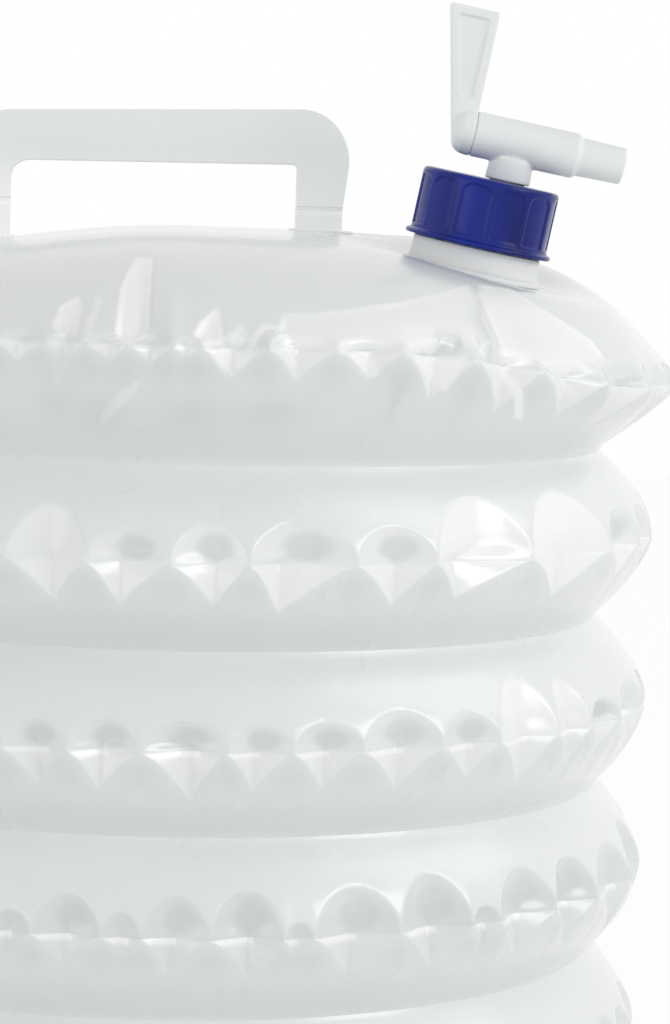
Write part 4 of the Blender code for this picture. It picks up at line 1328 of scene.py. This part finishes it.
# %% Model the tap's body
barrel_profile = [
    (PLUG_HOLE, -BARREL_TAIL), (BARREL_RADIUS - 0.0003, -BARREL_TAIL),
    (BARREL_RADIUS, -BARREL_TAIL + 0.0003), (BARREL_RADIUS, BARREL_NOSE),
    (0.00565, NOSE_STEP), (0.0054, NOSE_STEP + 0.0004),
    (0.0051, NOZZLE_END - 0.0003), (0.0049, NOZZLE_END), (NOZZLE_BORE, NOZZLE_END),
    (NOZZLE_BORE, PLUG_NOSE + GAP), (PLUG_HOLE, PLUG_NOSE + GAP), (PLUG_HOLE, -BARREL_TAIL)]
tap_piece = turned("tap_moulding", barrel_profile, TAP_STEPS)
point_outwards(tap_piece)
apply_place(tap_piece, LIE_DOWN)
stem_profile = [
    (SPIGOT_BORE, SPIGOT_END), (SPIGOT_RADIUS, SPIGOT_END), (SPIGOT_RADIUS, CAP_TOP + GAP),
    (STEM_RADIUS - 0.0002, CAP_TOP + GAP), (STEM_RADIUS, CAP_TOP + 0.0006), (0.0060, STEM_HEAD),
    (SPIGOT_BORE, STEM_HEAD), (SPIGOT_BORE, SPIGOT_END)]
stem = turned("tap_stem", stem_profile, TAP_STEPS)
point_outwards(stem)
apply_place(stem, Matrix.Translation((0, 0, -TAP_AXIS)))
melt(tap_piece, stem, 9)
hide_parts("tap_body")
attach(tap_piece, "cap")
print("tap body:", len(tap_piece.data.polygons), "faces")

# %% [markdown]
# ## The lever
#
# The lever is a flat blade that widens towards its tip, on a round hub behind the barrel. Both faces
# of the blade are recessed inside a rim. It starts as a block: the top is widened to the rear, the
# faces are inset and pushed in, and the corners are bevelled. The hub and the plug are turned, and all
# of it is melted into one skin.

# %% Model the lever
HUB_FRONT = -BARREL_TAIL
HUB_REAR = HUB_FRONT - 0.0057
PLUG_RADIUS, PLUG_BORE, PLUG_BORE_END = 0.0044, 0.0023, -0.0045
LEVER_FOOT, LEVER_RISE = -0.003, 0.0340
LEVER_TIP_WIDTH = 0.0142
LEVER_THICKNESS = 0.0036
LEVER_RIM, RECESS_FOOT, RECESS_SLOPE, RECESS_DEPTH = 0.0024, 0.0068, 0.0004, 0.0009
TIP_CORNER = 0.0009


def blade():
    """The flat blade, wider at its tip and recessed on both faces."""
    half = LEVER_THICKNESS / 2
    piece = block("lever_blade", (HUB_REAR, -half, LEVER_FOOT), (HUB_FRONT, half, LEVER_RISE))
    points = points_of(piece)
    tip = (points[:, 0] < HUB_REAR + MERGE) & (points[:, 2] > 0)
    points[tip, 0] = HUB_FRONT - LEVER_TIP_WIDTH
    move_points(piece, points)
    bpy.ops.object.mode_set(mode="EDIT")
    bpy.ops.mesh.select_all(action="SELECT")
    bpy.ops.mesh.bisect(plane_co=(0, 0, RECESS_FOOT), plane_no=(0, 0, 1))
    pick_faces(piece, lambda face: abs(face.normal.y) > FACING and face.center.z > RECESS_FOOT)
    bpy.ops.mesh.inset(thickness=LEVER_RIM, depth=0)
    bpy.ops.mesh.inset(thickness=RECESS_SLOPE, depth=-RECESS_DEPTH)
    pick_edges(piece, lambda a, b: a.z > LEVER_RISE - MERGE and b.z > LEVER_RISE - MERGE
               and abs(a.y - b.y) > half)
    bpy.ops.mesh.bevel(offset=TIP_CORNER, segments=4)
    bpy.ops.object.mode_set(mode="OBJECT")
    return piece


hub_profile = [
    (SMALL_HOLE, HUB_REAR), (0.0036, HUB_REAR), (0.0050, HUB_REAR + 0.0008), (0.0060, HUB_REAR + 0.0024),
    (BARREL_RADIUS, HUB_FRONT - 0.0014), (BARREL_RADIUS, HUB_FRONT), (PLUG_RADIUS, HUB_FRONT),
    (PLUG_RADIUS, PLUG_NOSE), (PLUG_BORE, PLUG_NOSE), (PLUG_BORE, PLUG_BORE_END),
    (SMALL_HOLE, PLUG_BORE_END)]
lever_piece = turned("lever_moulding", hub_profile, TAP_STEPS)
close_holes(lever_piece, (HUB_REAR, PLUG_BORE_END))
point_outwards(lever_piece)
apply_place(lever_piece, LIE_DOWN)
melt(lever_piece, blade(), 6)
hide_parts("tap_lever")
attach(lever_piece, "lever")
print("lever:", len(lever_piece.data.polygons), "faces")

# %% [markdown]
# ## Materials
#
# The film is milky polyethylene: pale grey-green white and glossy. The three values that were kept on
# its points paint highlights and shade into it, with crisp outlines for the dents. The plastic of the
# strap, the neck and the tap is the same family but thicker and duller, and the strap gets painted light
# towards its feet, which lifts the shade there. The cap is deep blue polypropylene with a gloss and faint
# upright streaks of painted reflection along its ribs. Each material has its colour from slow noise
# between two close shades, and a fine bump.

# %% Helpers for the nodes of a material
# A colour mix has its two colours at its inputs 6 and 7, and its result at output 2.
MIX_FIRST, MIX_SECOND, MIX_RESULT = 6, 7, 2


def add_node(nodes, kind, values=None, **settings):
    """A new node, with its settings and the values of its inputs."""
    node = nodes.new(kind)
    for name, setting in settings.items():
        setattr(node, name, setting)
    for name, value in (values or {}).items():
        node.inputs[name].default_value = value
    return node


def mix_in(nodes, links, base, colour, amount):
    """Mix a colour into what comes from base, by an amount, and give back the result."""
    mixed = add_node(nodes, "ShaderNodeMix", data_type="RGBA")
    mixed.inputs[MIX_SECOND].default_value = (*colour, 1)
    links.new(amount, mixed.inputs["Factor"])
    links.new(base, mixed.inputs[MIX_FIRST])
    return mixed.outputs[MIX_RESULT]


# %% A helper for plastics
BUMP_HEIGHT = 0.001
COAT_ROUGHNESS = 0.15
DARK_UP_TO, PALE_FROM = 0.3, 0.7


def plastic(name, pale, dark, roughness, spread=0.05, grain=700, bump=0.03, patch=26, coat=0.0,
            stretch=None, shine=0.5):
    """A plastic whose colour and roughness drift slowly, with a fine grain."""
    material = bpy.data.materials.new(name)
    material.use_nodes = True
    nodes, links = material.node_tree.nodes, material.node_tree.links
    shader = nodes["Principled BSDF"]
    source = add_node(nodes, "ShaderNodeTexCoord").outputs["Object"]
    if stretch:
        mapping = add_node(nodes, "ShaderNodeMapping", {"Scale": stretch})
        links.new(source, mapping.inputs["Vector"])
        source = mapping.outputs["Vector"]
    drift = add_node(nodes, "ShaderNodeTexNoise", {"Scale": patch, "Detail": 4})
    links.new(source, drift.inputs["Vector"])
    colour = nodes.new("ShaderNodeValToRGB")
    for stop, place, shade_of in zip(colour.color_ramp.elements, (DARK_UP_TO, PALE_FROM), (dark, pale)):
        stop.position = place
        stop.color = (*shade_of, 1)
    links.new(drift.outputs["Fac"], colour.inputs["Fac"])
    links.new(colour.outputs["Color"], shader.inputs["Base Color"])
    dull = add_node(nodes, "ShaderNodeMapRange",
                    {"To Min": roughness - spread, "To Max": roughness + spread})
    links.new(drift.outputs["Fac"], dull.inputs["Value"])
    links.new(dull.outputs["Result"], shader.inputs["Roughness"])
    fine = add_node(nodes, "ShaderNodeTexNoise", {"Scale": grain, "Detail": 3})
    links.new(source, fine.inputs["Vector"])
    relief = add_node(nodes, "ShaderNodeBump", {"Strength": bump, "Distance": BUMP_HEIGHT})
    links.new(fine.outputs["Fac"], relief.inputs["Height"])
    links.new(relief.outputs["Normal"], shader.inputs["Normal"])
    shader.inputs["Coat Weight"].default_value = coat
    shader.inputs["Coat Roughness"].default_value = COAT_ROUGHNESS
    shader.inputs["Specular IOR Level"].default_value = shine
    return material


# %% Helpers that paint light and shade into a plastic's colour
OUTLINE_LOW, OUTLINE_HIGH = -0.4, 0.8


def add_painted_light(material, clear, white):
    """Paint highlights and shade into the film from its own values, with crisp outlines for the dents."""
    nodes, links = material.node_tree.nodes, material.node_tree.links
    shader = nodes["Principled BSDF"]
    base = shader.inputs["Base Color"].links[0].from_socket

    def value_of(name):
        return add_node(nodes, "ShaderNodeAttribute", attribute_name=name).outputs["Fac"]

    crisp = add_node(nodes, "ShaderNodeMapRange", {"From Min": OUTLINE_LOW, "From Max": OUTLINE_HIGH},
                     interpolation_type="SMOOTHSTEP")
    links.new(value_of("outline"), crisp.inputs["Value"])
    total = add_node(nodes, "ShaderNodeMath", operation="MULTIPLY_ADD")
    for place, value in enumerate((value_of("dent_painted_light"), crisp.outputs["Result"], value_of("soft_painted_light"))):
        links.new(value, total.inputs[place])
    # mix in the white of the painted highlights and the grey of the painted shade
    for sign, shade_of in ((1, white), (-1, clear)):
        amount = add_node(nodes, "ShaderNodeMath", {1: sign}, operation="MULTIPLY", use_clamp=True)
        links.new(total.outputs["Value"], amount.inputs[0])
        base = mix_in(nodes, links, base, shade_of, amount.outputs["Value"])
    links.new(base, shader.inputs["Base Color"])


def paint_light_below(material, white, full, none):
    """Paint light into a material step by step, from the height none down to the height full."""
    nodes, links = material.node_tree.nodes, material.node_tree.links
    shader = nodes["Principled BSDF"]
    split = nodes.new("ShaderNodeSeparateXYZ")
    links.new(add_node(nodes, "ShaderNodeTexCoord").outputs["Object"], split.inputs["Vector"])
    amount = add_node(nodes, "ShaderNodeMapRange",
                      {"From Min": full, "From Max": none, "To Min": 1, "To Max": 0})
    links.new(split.outputs["Z"], amount.inputs["Value"])
    base = shader.inputs["Base Color"].links[0].from_socket
    links.new(mix_in(nodes, links, base, white, amount.outputs["Result"]), shader.inputs["Base Color"])


def dress(pieces, material):
    """Give each piece this one material."""
    for piece in pieces:
        piece.data.materials.clear()
        piece.data.materials.append(material)


# %% Make the materials and put them on
PAINTED_LIGHT_SHARE = 0.6
milky_film = plastic("milky_film", (0.79, 0.82, 0.80), (0.775, 0.805, 0.785), 0.28, grain=160, bump=0.02,
                     coat=0.7)
# the grey of the painted shade and the white of the painted highlights on the film
add_painted_light(milky_film, (0.62, 0.65, 0.635), (0.95, 0.96, 0.955))
milky_strap = plastic("milky_strap", (0.84, 0.865, 0.85), (0.82, 0.845, 0.83), 0.5)
# painted light on the strap's legs towards the feet, which lifts the shade there
paint_light_below(milky_strap, (0.96, 0.975, 0.965), HINGE_LINE, HINGE_LINE + PAINTED_LIGHT_SHARE * STRAP_RISE)
white_neck = plastic("white_neck", (0.82, 0.83, 0.83), (0.79, 0.80, 0.80), 0.4)
white_tap = plastic("white_tap", (0.83, 0.86, 0.85), (0.81, 0.84, 0.83), 0.36)
# the blue drifts in upright streaks, which are painted reflections on the cap's wall
blue_cap = plastic("blue_cap_plastic", (0.006, 0.022, 0.30), (0.002, 0.008, 0.12), 0.22, patch=55,
                   stretch=(1, 1, 0.12), shine=0.25)
clear_rubber = plastic("clear_rubber", (0.62, 0.64, 0.63), (0.55, 0.57, 0.56), 0.55)
kept = frame["nodes"]
dress(film_pieces, milky_film)
dress([strap_piece] + feet, milky_strap)
dress([spout_piece], white_neck)
dress([cap_piece], blue_cap)
dress([tap_piece, lever_piece, kept["tap_lock_nut"]], white_tap)
dress([kept[node] for node in ("cap_gasket", "tap_washer", "plug_seal_front", "plug_seal_rear")],
      clear_rubber)
print("materials:", len(bpy.data.materials))

# %% [markdown]
# ## Floor and light
#
# The carrier stands in a plain white studio. The world gives soft light from all sides, and less from
# straight above. A soft lamp at the right lights the walls that face it, a second one above it brings
# out the upper walls of the rings, and a big weak one, low at the left, opens the shadows there. What
# the camera sees of the world is pure white, which is set apart from the light that it gives.

# %% Helper that shows a background as white
def seen_white(nodes, links, lit, output, amount):
    """What the camera, a reflection or a look through film sees is mixed with plain white."""
    kind = "ShaderNodeBackground" if output.name == "World Output" else "ShaderNodeEmission"
    white = add_node(nodes, kind, {"Color": (1, 1, 1, 1), "Strength": 1})
    rays = nodes.new("ShaderNodeLightPath")
    seen = rays.outputs["Is Camera Ray"]
    for ray in ("Is Glossy Ray", "Is Transmission Ray"):
        either = add_node(nodes, "ShaderNodeMath", operation="MAXIMUM")
        links.new(seen, either.inputs[0])
        links.new(rays.outputs[ray], either.inputs[1])
        seen = either.outputs["Value"]
    share = add_node(nodes, "ShaderNodeMath", {1: amount}, operation="MULTIPLY")
    links.new(seen, share.inputs[0])
    mix = nodes.new("ShaderNodeMixShader")
    links.new(share.outputs["Value"], mix.inputs["Fac"])
    links.new(lit, mix.inputs[1])
    links.new(white.outputs[0], mix.inputs[2])
    links.new(mix.outputs["Shader"], output.inputs["Surface"])


# %% Floor
FLOOR_SIZE = 6
start_clean()
bpy.ops.mesh.primitive_plane_add(size=FLOOR_SIZE, location=(0, 0, 0))
floor = name_piece("studio_floor")
floor_look = bpy.data.materials.new("studio_floor")
floor_look.use_nodes = True
nodes, links = floor_look.node_tree.nodes, floor_look.node_tree.links
shader = nodes["Principled BSDF"]
shader.inputs["Base Color"].default_value = (0.92, 0.92, 0.92, 1)
shader.inputs["Roughness"].default_value = 0.9
seen_white(nodes, links, shader.outputs["BSDF"], nodes["Material Output"], 0.95)
dress([floor], floor_look)

# %% World
world = bpy.data.worlds.new("studio")
bpy.context.scene.world = world
world.use_nodes = True
nodes, links = world.node_tree.nodes, world.node_tree.links
nodes["Background"].inputs["Color"].default_value = (1, 1, 1, 1)
split = nodes.new("ShaderNodeSeparateXYZ")
links.new(add_node(nodes, "ShaderNodeTexCoord").outputs["Generated"], split.inputs["Vector"])
dimmer = add_node(nodes, "ShaderNodeMapRange",
                  {"From Min": 0.2, "From Max": 1.0, "To Min": 1.09, "To Max": 0.26})
links.new(split.outputs["Z"], dimmer.inputs["Value"])
links.new(dimmer.outputs["Result"], nodes["Background"].inputs["Strength"])
seen_white(nodes, links, nodes["Background"].outputs["Background"], nodes["World Output"], 1)


# %% Lamps
def soft_lamp(name, place, aim, size, power):
    """A square area lamp that stands in one place and shines at another."""
    start_clean()
    bpy.ops.object.light_add(type="AREA", location=place)
    lamp = bpy.context.object
    lamp.name = name
    lamp.data.shape = "SQUARE"
    lamp.data.size = size
    lamp.data.energy = power
    direction = Vector(aim) - Vector(place)
    lamp.rotation_euler = direction.to_track_quat("-Z", "Y").to_euler()


soft_lamp("key_lamp", (1.5, -1.0, 1.1), (0, 0, 0.2), 0.8, 6)
soft_lamp("upper_lamp", (1.15, 0.0, 1.4), (0, 0, 0.2), 0.9, 2.4)
soft_lamp("fill_lamp", (-1.5, -1.35, 0.1), (0, 0, 0.12), 1.4, 5)
print("lamps:", len(bpy.data.lights))

# %% Finish
bpy.context.scene.view_settings.view_transform = "Standard"
